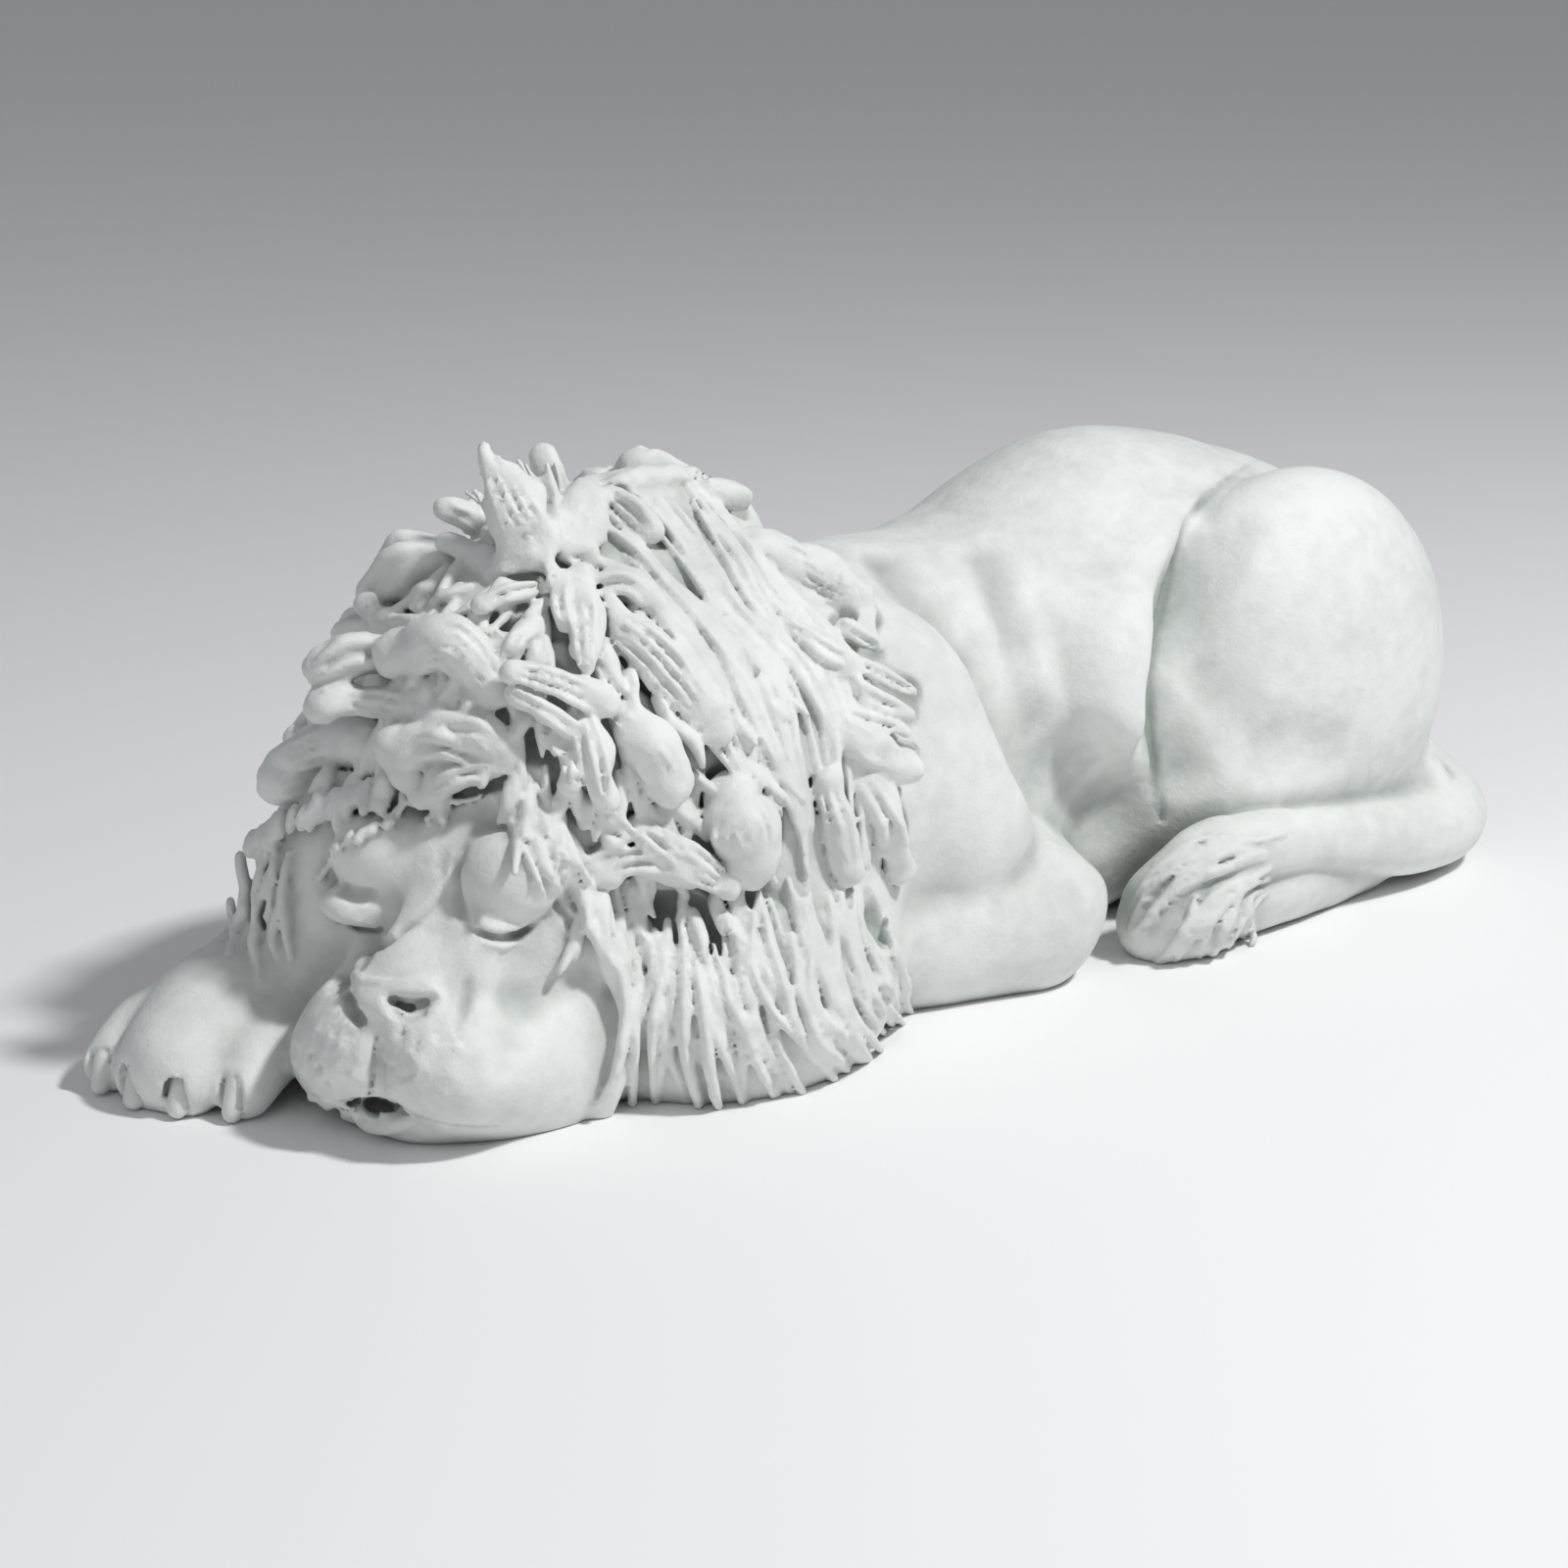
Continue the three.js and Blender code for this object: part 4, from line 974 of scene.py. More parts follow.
@dataclass
class Mane:
    """The mane: its mass, the drawn locks on the near side and plainer ones on the far side.

    Attributes:
        rng: Where its small differences come from.
        sheet: What the near side is drawn on.
        heart: The point that directions on the far side are told from.
    """

    rng: np.random.Generator
    sheet: Sheet = field(default_factory=Sheet)
    heart: tuple[float, float, float] = (-250.0, -20.0, 150.0)

    def mass(self, clay: Clay) -> None:
        """Adds the mane's body under its locks."""
        clay.add(bulge(-250, -15, 232, (165, 142, 166), -8), 20)
        clay.add(bulge(-345, -22, 232, (105, 112, 140)), 40)
        clay.add(bulge(-396, 32, 158, (96, 84, 92)), 30)
        clay.add(bulge(-185, -62, 160, (135, 118, 160)), 40)
        clay.add(bulge(-222, -112, 56, (132, 106, 92)), 36)
        clay.add(bulge(-240, 90, 150, (150, 108, 150)), 40)
        ridge = [(-330, -50, 372), (-266, -32, 389), (-200, -18, 385), (-150, -16, 366)]
        clay.add(Limb(ridge, [24, 26, 27, 24]), 30)
        clay.add(bulge(-452, 62, 96, (52, 54, 88)), 24)

    def laid(self, clay: Clay, drawn: Sequence[Sequence[float]], lift: Sequence[float]) -> np.ndarray:
        """Lays a drawn course on the mass.

        Args:
            clay: The mass.
            drawn: Places on the sheet.
            lift: How far off the mass the course's root, middle and tip are.

        Returns:
            The course's points in the statue's frame. Where it leaves the mass it keeps its distance from
            the eye.
        """
        ways = self.sheet.lines(drawn)
        eye = np.broadcast_to(self.sheet.eye(), ways.shape)
        reach = clay.trace(eye, ways, 2150.0, 2950.0)
        off = clay.at(eye + ways * reach[:, None]) > 2.0
        for n in range(1, len(reach)):
            if off[n]:
                reach[n] = reach[n - 1]
        share = np.linspace(0, 1, len(ways))
        return eye + ways * (reach - np.interp(share, (0, 0.5, 1), lift))[:, None]

    def strand(self, clay: Clay, path: np.ndarray, radius: float, out: Point, deep: float = 2.0) -> None:
        """Adds one strand that swells a little in its middle and thins at its tip.

        Args:
            clay: What it is added to.
            path: Its middle line.
            radius: Half its width.
            out: The direction in which it stands up.
            deep: How deep it reaches, as a share of its width.
        """
        wobble = self.rng.normal(0, radius * 0.16, path.shape)
        clay.add(Limb(path + wobble, [radius * 0.7, radius * 1.1, radius, radius * 0.5], deep, out, 6.0), 0.7)

    def lay_comb(self, clay: Clay, mass: Clay, comb: Comb) -> None:
        """Lays the strands of a comb, each over a part of the course between its two edges.

        A strand's course is the blend of the edges at its share t of the way across: first (1 - t) + last t.
        The share wanders as the strand runs, by stray times the sine of a few radians over its length. Beside
        the single strands' own heights, a slow sine over their numbers raises and sinks them in groups.

        Args:
            clay: What they are added to.
            mass: What they lie on.
            comb: The comb.
        """
        steps = 13
        share = np.linspace(0, 1, steps)
        edges = []
        for course in (comb.first, comb.last):
            line = smooth_path(course, 4.0)
            places = np.linspace(0, 1, len(line))
            edges.append(np.stack([np.interp(share, places, line[:, i]) for i in (0, 1)], 1))
        for n in range(comb.count):
            t = (n + 0.5 + self.rng.uniform(-0.5, 0.5)) / comb.count
            wander = np.sin(share * self.rng.uniform(2, 7) + self.rng.uniform(0, 6))
            t = t + np.outer(wander, self.rng.uniform(-comb.stray, comb.stray))
            drawn = edges[0] * (1 - t) + edges[1] * t + self.rng.normal(0, 0.8, (steps, 2))
            length = self.rng.uniform(*comb.length)
            start = self.rng.uniform(0, 1 - length) if length < 1 else 0.0
            part = np.linspace(start, start + length, 7)
            drawn = np.stack([np.interp(part, share, drawn[:, i]) for i in (0, 1)], 1)
            drawn += np.outer(np.linspace(-1, 1, 7) ** 2, self.rng.normal(0, 4.0, 2))
            group = math.sin(n * 1.3 + comb.first[0][0])
            high = self.rng.uniform(-comb.uneven, comb.uneven) * 0.6 + comb.uneven * 0.6 * group
            path = self.laid(mass, drawn, [v + high for v in comb.lift])
            self.strand(clay, path, comb.radius * self.rng.uniform(0.7, 1.35), self.sheet.basis()[2])

    def lay_lock(self, clay: Clay, mass: Clay, lock: Lock) -> tuple[np.ndarray, np.ndarray]:
        """Digs a moat for one lock and lays its body.

        Args:
            clay: What it is added to.
            mass: What it lies on.
            lock: The lock.

        Returns:
            The lock's middle line and its half widths along it.
        """
        line = smooth_path(self.laid(mass, lock.drawn, lock.lift), 14.0)
        share = np.linspace(0, 1, len(line))
        size = np.interp(share, np.linspace(0, 1, len(lock.radii)), lock.radii)
        back = self.sheet.basis()[2]
        if lock.moat:
            sunk = np.interp(share, (0, 0.5, 1), lock.lift) + 2
            clay.carve(Limb(line - back * sunk[:, None] * 0.8, size + lock.moat, 0.8, back, 6.0), 3)
        lumps = size * self.rng.uniform(0.9, 1.1, len(size))
        clay.add(Limb(line + self.rng.normal(0, 1.0, line.shape), lumps, lock.flat, back, 6.0), 2)
        return line, size

    def lay_ridges(self, clay: Clay, lock: Lock, line: np.ndarray, size: np.ndarray) -> None:
        """Lays the ridges along a lock.

        A ridge at the share s across runs beside the middle by s times the half width, and stands up by
        the half width times flat times the root of 1 - 0.8 s s.

        Args:
            clay: What they are added to.
            lock: The lock.
            line: Its middle line.
            size: Its half widths along the line.
        """
        back = self.sheet.basis()[2]
        side = np.cross(np.gradient(line, axis=0), back)
        side /= np.linalg.norm(side, axis=1, keepdims=True)
        ridges = lock.ridges or max(2, round(float(size.mean()) / 3.6))
        pitch = 2 * float(size.mean()) / ridges
        for n in range(ridges):
            s = ((2 * n + 1) / ridges - 1) * self.rng.uniform(0.85, 1.0)
            up = lock.flat * math.sqrt(1 - s * s * 0.8) * self.rng.uniform(0.92, 1.02)
            ridge = line + side * (s * size * 0.9)[:, None] + back * (size * up)[:, None]
            low = int(self.rng.integers(0, max(1, len(line) // 3)))
            ridge = ridge[low:len(line) - int(self.rng.integers(0, max(1, len(line) // 4)))]
            if len(ridge) > 1:
                self.strand(clay, ridge, self.rng.uniform(0.28, 0.46) * pitch, back, 1.5)

    def polar(self, clay: Clay, around: float, up: float, lift: float) -> np.ndarray:
        """Returns a point off the skin as seen from the mane's heart.

        Args:
            clay: The mass.
            around: Degrees from the nose towards the lion's left.
            up: Degrees above level.
            lift: How far outside the skin it lies.

        Returns:
            The point.
        """
        a, b = math.radians(around), math.radians(up)
        way = np.array([[-math.cos(a) * math.cos(b), -math.sin(a) * math.cos(b), math.sin(b)]])
        along = np.arange(60.0, 330.0, 2.0)
        start = np.asarray(self.heart)
        values = clay.at(start + way * along[:, None])
        out = along[int((values >= 0).argmax())]
        return start + way[0] * (out + lift)

    def row(self, clay: Clay, mass: Clay, count: int, roots: Sequence[Point], tips: Sequence[Point],
            radii: Sequence[float], lift: Sequence[float], ridges: int = 2, scatter: float = 4.0) -> None:
        """Lays a row of locks between two directions, each with its tip between two other ones.

        Args:
            clay: What they are added to.
            mass: What they lie on.
            count: How many.
            roots: The first and last root as (around, up).
            tips: The first and last tip as (around, up).
            radii: Half widths at root, middle and tip.
            lift: How far the middle and the tip stand off.
            ridges: Strands along each.
            scatter: Degrees by which they stray.
        """
        for n in range(count):
            t = n / max(count - 1, 1)
            root, tip = (np.array([mix(first, last, t) for first, last in zip(*ends)])
                         + self.rng.uniform(-1, 1, 2) * scatter for ends in (roots, tips))
            size = self.rng.uniform(0.85, 1.15)
            path = np.array([self.polar(mass, *mix(root, tip, s), high)
                             for s, high in ((0, 0), (0.33, lift[0] * 0.8), (0.66, lift[0]), (1, lift[1]))])
            clay.add(Limb(path, [r * size for r in radii], 0.85, self.out(path), 6.0), 3)
            for k in range(ridges):
                share = (k + 0.5) / ridges * 2 - 1
                out = self.out(path)
                side = np.cross(np.gradient(path, axis=0), out)
                side /= np.linalg.norm(side, axis=1, keepdims=True)
                wide = np.interp(np.linspace(0, 1, 4), np.linspace(0, 1, len(radii)), radii) * size
                ridge = path + side * (share * wide * 0.8)[:, None] + out * (wide * 0.6)[:, None]
                self.strand(clay, ridge, max(3.0, 0.4 * float(wide.mean())), out, 1.4)

    def out(self, path: np.ndarray) -> np.ndarray:
        """Returns the direction from the mane's heart through the middle of a path."""
        way = path.mean(0) - np.asarray(self.heart)
        return way / np.linalg.norm(way)

    def near_side(self, clay: Clay, mass: Clay) -> None:
        """Lays everything that the sheet shows: hollows and lobes first, then the strands over them."""
        for stroke in HOLLOWS:
            stroke.apply(clay, self.sheet)
        laid = [(lock, *self.lay_lock(clay, mass, lock)) for lock in LOCKS]
        worked = np.clip(np.abs(mass.values - clay.values) / 4, 0, 1)
        Undulation(self.rng, 24.0, 2.4).crumple(clay, worked)
        Undulation(self.rng, 11.0, 1.1).crumple(clay, worked)
        for comb in self.hair():
            self.lay_comb(clay, mass, comb)
        self.tufts(clay, mass)
        for lock, line, size in laid:
            self.lay_ridges(clay, lock, line, size)
        for comb in combs(CREST, 4, 2.8, (8, 16, 20), 2, (0.6, 1.0), 0.15):
            self.lay_comb(clay, mass, comb)
        self.brow_band(clay, mass)

    def hair(self) -> Iterator[Comb]:
        """Yields the combs of the beard, the far cheek, the shoulder's strands, the fringe and the tuft."""
        yield from combs(BEARD, 6, 3.7, (1, 3, 1), 4, (0.45, 1.0), 0.5)
        yield from combs(SIDE, 5, 4.0, (2, 4, 1), 4, (0.3, 0.8))
        yield from combs(FLOW, 7, 3.6, (1, 3, 1), 4, (0.35, 0.95), 0.4)
        yield from combs(FRINGE, 3, 2.8, (1, 3, 1), 1.5, (0.6, 1.0), 0.12)
        yield from combs(TUFT, 5, 3.0, (1, 3, 1), 2, (0.4, 0.95), 0.4)

    def tufts(self, clay: Clay, mass: Clay) -> None:
        """Fills the ground between the lobes with short tufts that point away from the crown."""
        crown = np.array([550.0, 560.0])
        for low, high, count, size in (((420, 570), (520, 700), 36, 5.5), ((330, 670), (500, 788), 46, 6.5),
                                       ((520, 600), (660, 820), 46, 5.5), ((560, 820), (760, 960), 40, 5.5),
                                       ((640, 620), (780, 830), 50, 5.0)):
            for spot in self.rng.uniform(low, high, (count, 2)):
                way = (spot - crown) / np.linalg.norm(spot - crown)
                way = way + self.rng.normal(0, 0.3, 2) + (0, 0.25)
                long = self.rng.uniform(26, 54)
                drawn = spot + np.outer((0, 0.35, 0.7, 1), way * long)
                path = self.laid(mass, drawn, (1, self.rng.uniform(3, 9), self.rng.uniform(4, 14)))
                self.strand(clay, path, size * self.rng.uniform(0.5, 1.0), self.sheet.basis()[2], 1.6)

    def brow_band(self, clay: Clay, mass: Clay) -> None:
        """Lays the ragged band over the forehead: short drops of plaster side by side along the hairline."""
        for course, count, fall, radius, lift in (
                (((258, 850), (300, 826), (350, 806), (402, 792)), 16, 30, 7.0, 16),
                (((330, 892), (346, 862), (384, 842), (430, 812)), 14, 8, 4.5, 6),
                (((436, 834), (466, 820), (496, 810)), 6, 4, 3.5, 4)):
            line = smooth_path(course, 3.0)
            for n in range(count):
                x, y = line[int((n + 0.5) / count * (len(line) - 1))] + self.rng.normal(0, 2.0, 2)
                drawn = ((x, y), (x - 3, y + fall * 0.5), (x - 4, y + fall * self.rng.uniform(0.7, 1.2)))
                path = self.laid(mass, drawn, (lift, lift, lift * 0.7))
                self.strand(clay, path, radius * self.rng.uniform(0.6, 1.0), self.sheet.basis()[2], 1.5)

    def far_side(self, clay: Clay, mass: Clay) -> None:
        """Lays the side away from the sheet in keeping with it, and plainer."""
        self.row(clay, mass, 5, ((-16, 60), (-62, 56)), ((-30, 50), (-80, 44)), (16, 20, 14), (12, 18))
        self.row(clay, mass, 6, ((-24, 44), (-90, 40)), ((-36, 38), (-104, 34)), (16, 21, 15), (12, 20))
        self.row(clay, mass, 6, ((-30, 34), (-96, 30)), ((-42, 26), (-108, 22)), (16, 21, 15), (12, 20))
        self.row(clay, mass, 5, ((-34, 20), (-80, 20)), ((-44, 12), (-92, 12)), (15, 20, 14), (10, 18))
        self.row(clay, mass, 6, ((-40, 8), (-84, 6)), ((-46, -10), (-90, -14)), (12, 16, 10), (2, 4))
        self.row(clay, mass, 9, ((-70, 74), (-160, 80)), ((-92, 30), (-150, 34)), (13, 18, 12), (8, 8), 3)
        self.row(clay, mass, 8, ((-92, 34), (-146, 34)), ((-98, 6), (-142, 6)), (14, 19, 13), (10, 12), 3)
        self.row(clay, mass, 8, ((-80, 8), (-136, 6)), ((-84, -18), (-136, -22)), (13, 18, 12), (10, 10), 3)

    def model(self, clay: Clay) -> None:
        """Lays all the locks on the mass that is already there."""
        mass = Clay(clay.axes, clay.values.copy())
        self.near_side(clay, mass)
        self.far_side(clay, mass)


@dataclass
class Skin:
    """Turns the clay into a closed mesh.

    Attributes:
        budget: How many triangles the mesh keeps.
        scales: For each scale at which the painted shade of a spot is judged: the samples each way, the
            highest
        distance that counts, and the mean depth that counts as full shade.
    """

    budget: int = 196_000
    scales: tuple[tuple[int, float, float], ...] = ((4, 14.0, 3.5), (9, 24.0, 9.0))

    def fill_pinches(self, values: np.ndarray) -> None:
        """Fills gaps where two samples touch only across a square's corner, which would pinch the skin.

        Args:
            values: The distances, which are changed.
        """
        for _ in range(3):
            for a, b in ((0, 1), (1, 2), (0, 2)):
                inside = np.moveaxis(values, (a, b), (0, 1))
                s = inside < 0
                p, q, r, t = s[:-1, :-1], s[1:, :-1], s[:-1, 1:], s[1:, 1:]
                inside[:-1, :-1][~p & q & r & ~t] = -0.05
                inside[1:, :-1][p & ~q & ~r & t] = -0.05

    def surface(self, clay: Clay) -> tuple[np.ndarray, np.ndarray]:
        """Draws the skin through the samples.

        Each cell that the skin crosses gets one vertex, at the mean of the places where the skin cuts the
        cell's edges: on an edge with the values a and b that is the share a / (a - b) of its length. Each
        sample edge that the skin cuts gets a quad between the four cells round it.

        Args:
            clay: The clay.

        Returns:
            The vertices and the triangles.
        """
        v = clay.values
        inside = v < 0
        full = np.zeros([n - 1 for n in v.shape], np.uint8)
        corners = [(i, j, k) for i in (0, 1) for j in (0, 1) for k in (0, 1)]
        for i, j, k in corners:
            full += inside[i:v.shape[0] - 1 + i, j:v.shape[1] - 1 + j, k:v.shape[2] - 1 + k]
        cell = np.argwhere((full > 0) & (full < 8))
        number = np.full(full.shape, -1, np.int32)
        number[tuple(cell.T)] = np.arange(len(cell))
        value = {c: v[tuple((cell + c).T)] for c in corners}
        place = {c: np.stack([clay.axes[n][cell[:, n] + c[n]] for n in range(3)], 1) for c in corners}
        total = np.zeros((len(cell), 3), np.float64)
        count = np.zeros(len(cell))
        for c in corners:
            for n in range(3):
                if c[n]:
                    continue
                d = tuple(1 if m == n else c[m] for m in range(3))
                cut = (value[c] < 0) != (value[d] < 0)
                share = value[c] / np.where(cut, value[c] - value[d], 1)
                at = place[c] + (place[d] - place[c]) * share[:, None]
                total += np.where(cut[:, None], at, 0)
                count += cut
        vertices = total / count[:, None]
        triangles = []
        for n in range(3):
            u, w = (n + 1) % 3, (n + 2) % 3
            ahead = np.roll(inside, -1, n)
            edge = np.argwhere(inside != ahead)
            edge = edge[(edge[:, n] < v.shape[n] - 1) & (edge[:, u] > 0) & (edge[:, w] > 0)
                        & (edge[:, u] < v.shape[u] - 1) & (edge[:, w] < v.shape[w] - 1)]
            back_u = np.zeros(3, int)
            back_u[u] = 1
            back_w = np.zeros(3, int)
            back_w[w] = 1
            around = (back_u + back_w, back_w, 0 * back_w, back_u)
            quad = np.stack([number[tuple((edge - step).T)] for step in around], 1)
            outwards = inside[tuple(edge.T)]
            quad[~outwards] = quad[~outwards][:, ::-1]
            triangles += [quad[:, [0, 1, 2]], quad[:, [0, 2, 3]]]
        return vertices, np.vstack(triangles)

    def whole(self, vertices: np.ndarray, triangles: np.ndarray) -> tuple[np.ndarray, np.ndarray]:
        """Keeps the largest connected skin.

        Each vertex starts with its own number as its label, and labels spread to the lowest one over each
        triangle until none changes.

        Args:
            vertices: The vertices.
            triangles: The triangles.

        Returns:
            The vertices and triangles of the largest skin.
        """
        label = np.arange(len(vertices))
        while True:
            low = label[triangles].min(1)
            new = label.copy()
            for n in range(3):
                np.minimum.at(new, triangles[:, n], low)
            new = new[new]
            if (new == label).all():
                break
            label = new
        names, sizes = np.unique(label[triangles[:, 0]], return_counts=True)
        keep = label[triangles[:, 0]] == names[sizes.argmax()]
        used, flat = np.unique(triangles[keep], return_inverse=True)
        return vertices[used], flat.reshape(-1, 3)

    def dust_and_shade(self, piece: bpy.types.Object, clay: Clay) -> None:
        """Writes painted shade: how sheltered each vertex is, from 0 on open skin to 1 in a deep hollow.

        The distances are averaged over a small and a large box of cells round each sample. On flat skin the
        mean is 0 too; in a hollow most of the box is clay, so the mean is below 0.

        Args:
            piece: The object.
            clay: The clay that it was drawn from.
        """
        places = np.empty(len(piece.data.vertices) * 3, np.float32)
        piece.data.vertices.foreach_get("co", places)
        places = places.reshape(-1, 3) * 1000.0
        hollow_shade = np.zeros(len(places))
        for spread, limit, full in self.scales:
            mean = np.clip(clay.values, -limit, limit)
            for axis, count in enumerate(mean.shape):
                low = np.maximum(np.arange(count) - spread, 0)
                high = np.minimum(np.arange(count) + spread + 1, count)
                total = np.insert(np.cumsum(mean, axis=axis, dtype=np.float64), 0, 0.0, axis)
                width = (high - low).reshape([-1 if n == axis else 1 for n in range(3)])
                mean = ((total.take(high, axis) - total.take(low, axis)) / width).astype(np.float32)
            hollow_shade = np.maximum(hollow_shade, -Clay(clay.axes, mean).at(places) / full)
        # Painted shade: the material reads this attribute to darken the colour in hollows and creases.
        layer = piece.data.attributes.new("hollow_shade", "FLOAT", "POINT")
        layer.data.foreach_set("value", np.clip(hollow_shade, 0, 1).astype(np.float32))

    def mesh(self, clay: Clay, name: str) -> bpy.types.Object:
        """Makes the object, thinned to the budget by taking out the edges that matter least.

        Args:
            clay: The clay.
            name: The object's name.

        Returns:
            The object.
        """
        self.fill_pinches(clay.values)
        vertices, triangles = self.whole(*self.surface(clay))
        log.info("skin: %d triangles before thinning", len(triangles))
        data = bpy.data.meshes.new(name)
        data.from_pydata(vertices * 0.001, [], triangles.tolist())
        data.validate()
        piece = bpy.data.objects.new(name, data)
        bpy.context.scene.collection.objects.link(piece)
        if len(triangles) > self.budget:
            thin = piece.modifiers.new("thin", "DECIMATE")
            thin.ratio = self.budget / len(triangles)
            bpy.context.view_layer.update()
            kept = bpy.data.meshes.new_from_object(piece.evaluated_get(bpy.context.evaluated_depsgraph_get()))
            piece.modifiers.clear()
            piece.data = kept
        piece.data.shade_smooth()
        self.dust_and_shade(piece, clay)
        return piece


class Shade:
    """A node socket that can be used in sums and products."""

    tree: bpy.types.NodeTree

    def __init__(self, socket: bpy.types.NodeSocket) -> None:
        """Wraps an output socket."""
        self.socket = socket

    @classmethod
    def node(cls, kind: str, settings: dict | None = None, inputs: dict | None = None) -> bpy.types.Node:
        """Adds a node.

        Args:
            kind: Its type.
            settings: Its settings by name.
            inputs: Values or Shades for its inputs by name or number.

        Returns:
            The node.
        """
        node = cls.tree.nodes.new(kind)
        for name, value in (settings or {}).items():
            setattr(node, name, value)
        for name, value in (inputs or {}).items():
            if isinstance(value, Shade):
                cls.tree.links.new(value.socket, node.inputs[name])
            else:
                node.inputs[name].default_value = value
        return node

    def _math(self, operation: str, *others: "Shade | float", swap: bool = False) -> "Shade":
        """Combines this value with others in a Math node.

        Args:
            operation: What the node does.
            others: The other values.
            swap: Whether this value comes last.

        Returns:
            The node's result.
        """
        values = [self, *others]
        if swap:
            values.reverse()
        node = self.node("ShaderNodeMath", {"operation": operation}, dict(enumerate(values)))
        return Shade(node.outputs[0])

    def __add__(self, other: "Shade | float") -> "Shade":
        """Returns self + other."""
        return self._math("ADD", other)

    def __sub__(self, other: "Shade | float") -> "Shade":
        """Returns self - other."""
        return self._math("SUBTRACT", other)

    def __rsub__(self, other: float) -> "Shade":
        """Returns other - self."""
        return self._math("SUBTRACT", other, swap=True)

    def __mul__(self, other: "Shade | float") -> "Shade":
        """Returns self * other."""
        return self._math("MULTIPLY", other)

    __radd__ = __add__
    __rmul__ = __mul__


@dataclass(frozen=True)
class PlasterFinish:
    """White plaster with a thin matt coat: grain, tool strokes, dust on random patches, and painted shade in
    the hollows.

    Attributes:
        colour: The coat.
        dust_and_shade: The dark grey used for painted shade in the hollows and for dust on rubbed patches.
        roughness: Of the coat.
        grain: Waves of the fine grain a metre.
    """

    colour: tuple[float, float, float, float] = (0.77, 0.795, 0.775, 1)
    # Dark grey: painted shade in the hollows, and dust on the random patches.
    dust_and_shade: tuple[float, float, float, float] = (0.30, 0.33, 0.31, 1)
    roughness: float = 0.62
    grain: float = 420.0

    def noise(self, place: Shade, scale: float, detail: float = 3.0, roughness: float = 0.55) -> Shade:
        """Adds noise.

        Args:
            place: Where it is read.
            scale: Its waves a metre.
            detail: How many finer waves lie on them.
            roughness: How strong each finer wave is beside the one before.

        Returns:
            The noise, from 0 to 1.
        """
        return Shade(Shade.node("ShaderNodeTexNoise", {}, {
            "Vector": place, "Scale": scale, "Detail": detail, "Roughness": roughness}).outputs[0])

    def material(self) -> bpy.types.Material:
        """Builds the node material."""
        material = bpy.data.materials.new("plaster")
        material.use_nodes = True
        Shade.tree = material.node_tree
        shader = material.node_tree.nodes["Principled BSDF"]
        place = Shade(Shade.node("ShaderNodeTexCoord").outputs["Object"])
        patches = self.noise(place, 7.0, 4.0)
        specks = self.noise(place, 60.0, 4.0)
        grain = self.noise(place, self.grain, 2.0)
        strokes = self.noise(place, 130.0, 4.0, 0.65)
        # Painted shade: how sheltered each vertex is, read from the mesh attribute.
        hollow_shade = Shade(Shade.node("ShaderNodeAttribute", {"attribute_name": "hollow_shade"}).outputs["Fac"])
        share = Shade(Shade.node("ShaderNodeMapRange", {"clamp": True}, {
            "Value": patches * 0.65 + specks * 0.35, "From Min": 0.42, "From Max": 0.70,
            "To Min": 0.0, "To Max": 0.35}).outputs[0])
        # The patches above are random dust on the coat; the sheltered hollows add painted shade on top.
        share = share + hollow_shade * (patches * 0.5 + 0.65)
        colour = Shade.node("ShaderNodeMix", {"data_type": "RGBA"}, {
            "Factor": share, 6: self.colour, 7: self.dust_and_shade})
        material.node_tree.links.new(colour.outputs[2], shader.inputs["Base Color"])
        rough = patches * 0.16 + strokes * 0.12 + (self.roughness - 0.14)
        material.node_tree.links.new(rough.socket, shader.inputs["Roughness"])
        shader.inputs["Specular IOR Level"].default_value = 0.35
        height = grain * 0.25 + strokes * 1.0
        bump = Shade.node("ShaderNodeBump", {}, {"Strength": 0.5, "Distance": 0.0016, "Height": height})
        material.node_tree.links.new(bump.outputs[0], shader.inputs["Normal"])
        return material


@dataclass
class Lion:
    """The whole statue.

    Attributes:
        cell: Spacing of the samples over the head and the mane.
        coarse: Spacing along X over the body.
        seed: What the small differences start from.
    """

    cell: float = 2.3
    coarse: float = 4.2
    seed: int = 11

    def axes(self) -> list[np.ndarray]:
        """Returns the sample places: close over the head and mane, wider along the body, none on z = 0."""
        fine = np.arange(-640.0, -40.0, self.cell)
        return [np.concatenate([fine, np.arange(fine[-1] + self.coarse, 632.0, self.coarse)]),
                np.arange(-270.0, 262.0, self.cell), np.arange(-1.5 * self.cell, 470.0, self.cell)]

    def build(self) -> bpy.types.Object:
        """Models the clay, draws the skin and dresses it."""
        rng = np.random.default_rng(self.seed)
        clay = Clay(self.axes())
        Torso().model(clay)
        for side in Side:
            HindQuarter(side).model(clay)
            Shoulder(side).model(clay)
        Forelegs().model(clay)
        Tail().model(clay)
        mane = Mane(rng)
        mane.mass(clay)
        Head(rng).model(clay)
        for stroke in BODY:
            stroke.apply(clay, Sheet())
        log.info("forms laid")
        Undulation(rng, 70.0, 1.1).apply(clay)
        smooth = clay.values.copy()
        mane.model(clay)
        worked = np.clip(np.abs(smooth - clay.values) / 5, 0, 1)
        Undulation(rng, 9.0, 0.7).crumple(clay, worked)
        Undulation(rng, 18.0, 0.3).apply(clay)
        clay.values = np.maximum(clay.values, -clay.axes[2][None, None, :])
        log.info("locks laid")
        piece = Skin().mesh(clay, "lion_cast")
        piece.data.materials.clear()
        piece.data.materials.append(PlasterFinish().material())
        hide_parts("lion")
        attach(piece, "root")
        return piece


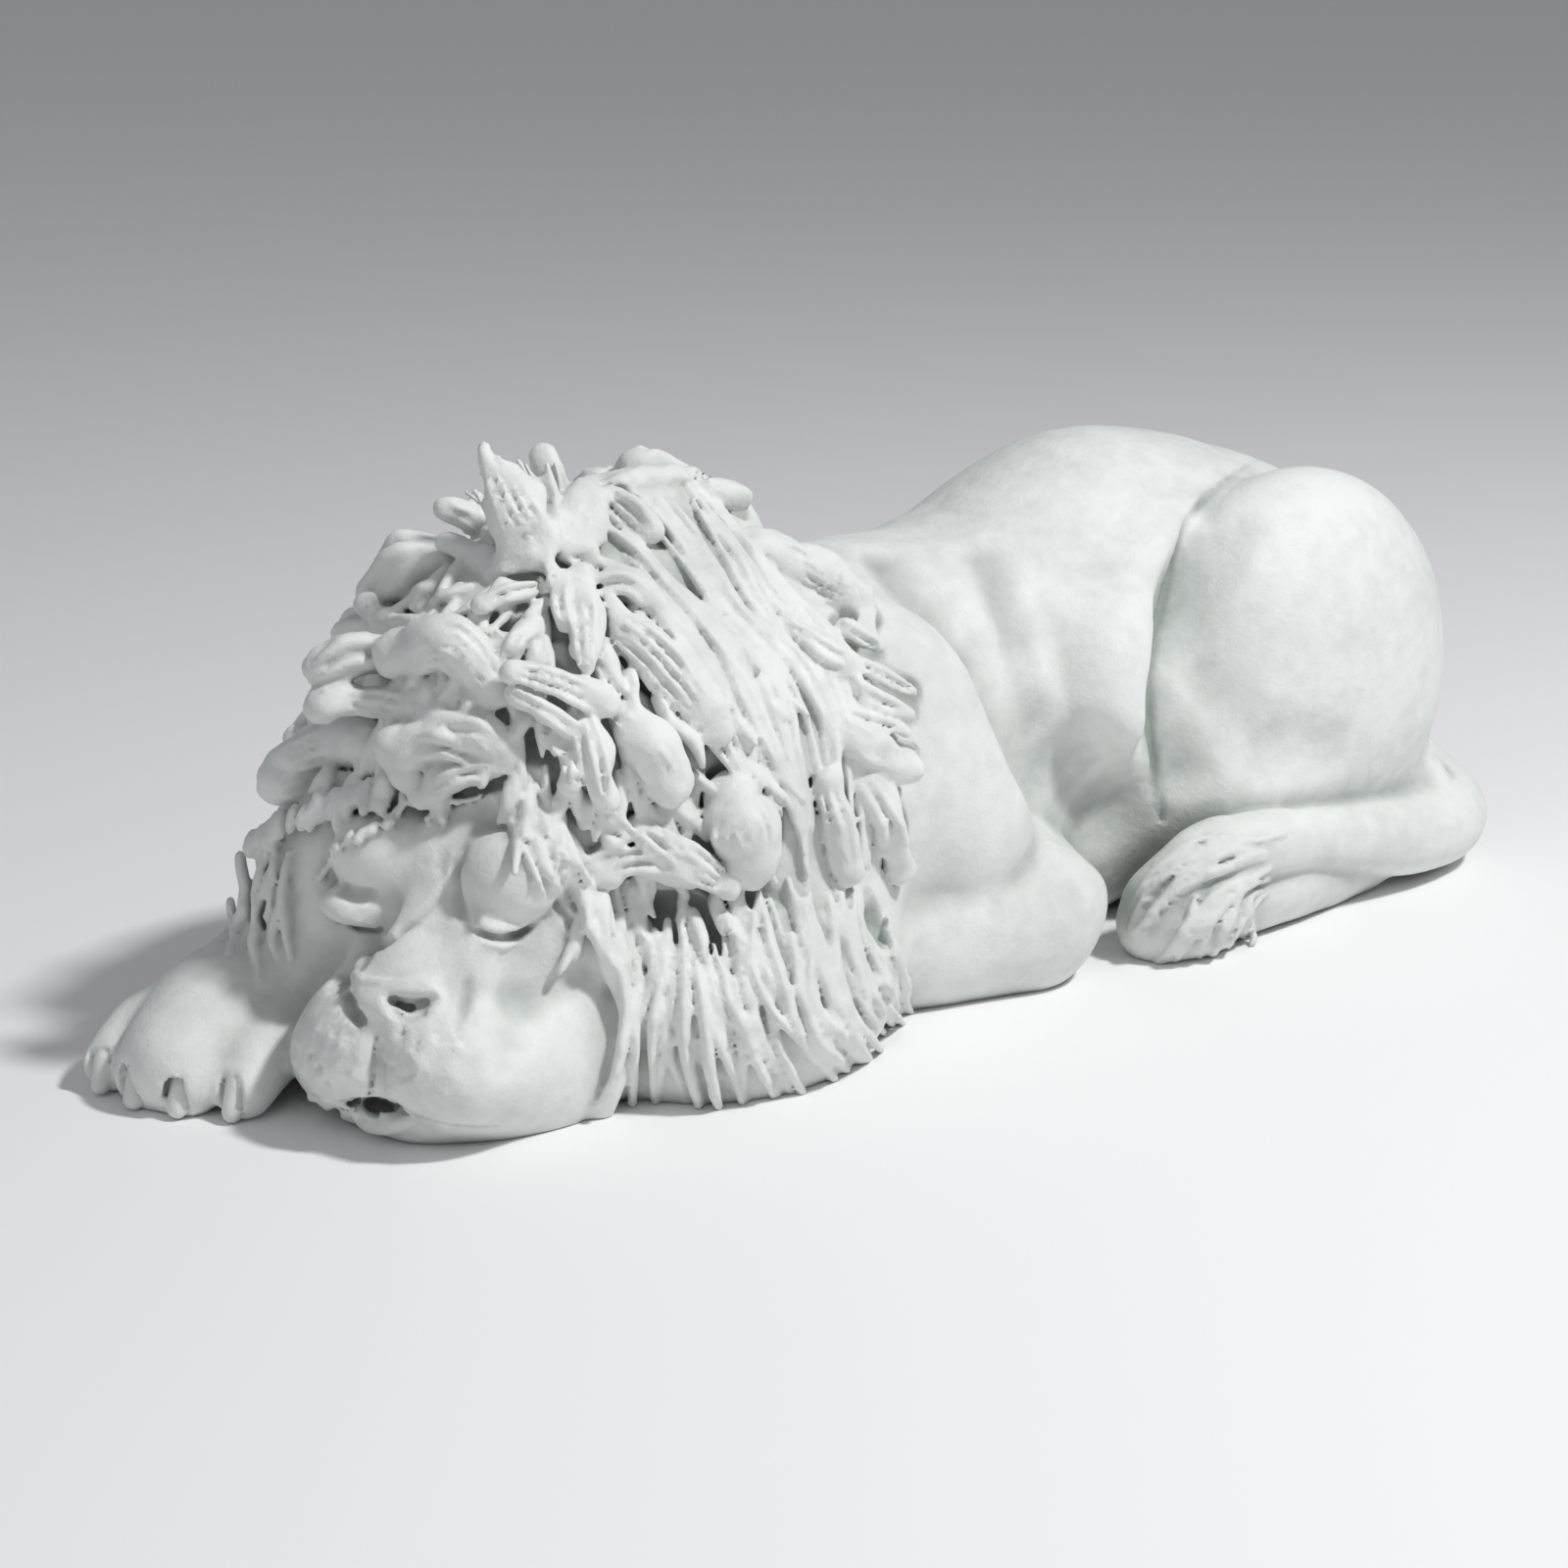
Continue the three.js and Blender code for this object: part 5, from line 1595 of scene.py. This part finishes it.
@dataclass
class Studio:
    """Camera, floor and lights.

    Attributes:
        lens: The camera's focal length.
        sensor: The width of its sensor.
    """

    lens: float = 85.0
    sensor: float = 36.0

    def camera(self) -> None:
        """Sets the camera at the photograph's angle."""
        sheet = Sheet()
        data = bpy.data.cameras.new("camera")
        data.lens = self.lens
        data.sensor_width = self.sensor
        data.clip_end = 50
        camera = bpy.data.objects.new("camera", data)
        bpy.context.scene.collection.objects.link(camera)
        camera.location = Vector(sheet.eye() * 0.001)
        camera.rotation_euler = Vector(-sheet.basis()[2]).to_track_quat("-Z", "Y").to_euler()
        bpy.context.scene.camera = camera

    def floor(self) -> None:
        """Lays a plain pale floor."""
        data = bpy.data.meshes.new("floor")
        data.from_pydata([(-40, -40, 0), (40, -40, 0), (40, 40, 0), (-40, 40, 0)], [], [(0, 1, 2, 3)])
        floor = bpy.data.objects.new("floor", data)
        bpy.context.scene.collection.objects.link(floor)
        material = bpy.data.materials.new("floor")
        material.use_nodes = True
        shader = material.node_tree.nodes["Principled BSDF"]
        shader.inputs["Base Color"].default_value = (0.9, 0.9, 0.9, 1)
        shader.inputs["Roughness"].default_value = 0.9
        data.materials.append(material)

    def light(self, name: str, toward: Point, away: float, size: float, power: float) -> None:
        """Adds a square light that shines on the statue from a direction.

        Args:
            name: Its name.
            toward: The direction from the statue to it.
            away: How many metres off it is.
            size: Its side in metres.
            power: Its power in watts.
        """
        data = bpy.data.lights.new(name, "AREA")
        data.size = size
        data.energy = power
        light = bpy.data.objects.new(name, data)
        bpy.context.scene.collection.objects.link(light)
        way = Vector(toward).normalized()
        light.location = Vector((-0.05, 0, 0.15)) + way * away
        light.rotation_euler = (-way).to_track_quat("-Z", "Y").to_euler()

    def build(self) -> None:
        """Sets up the studio: a high key from the right, and a pale room."""
        self.camera()
        self.floor()
        right, up, back = Sheet().basis()
        self.light("key", right * 0.55 + up * 0.74 + back * 0.55, 4.0, 0.4, 116)
        self.light("fill", right * -0.3 + up * 0.35 + back * 0.9, 4.5, 3.0, 16)
        world = bpy.data.worlds.new("room")
        world.use_nodes = True
        world.node_tree.nodes["Background"].inputs["Color"].default_value = (0.93, 0.96, 1.0, 1)
        world.node_tree.nodes["Background"].inputs["Strength"].default_value = 0.27
        bpy.context.scene.world = world
        bpy.context.scene.view_settings.view_transform = "Standard"


def main() -> None:
    """Builds the statue in its studio."""
    logging.basicConfig(level=logging.INFO, format="%(relativeCreated)6d ms %(message)s")
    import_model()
    Studio().build()
    lion = Lion()
    piece = lion.build()
    log.info("%s: %d triangles", piece.name, len(piece.data.polygons))


if __name__ == "__main__":
    main()
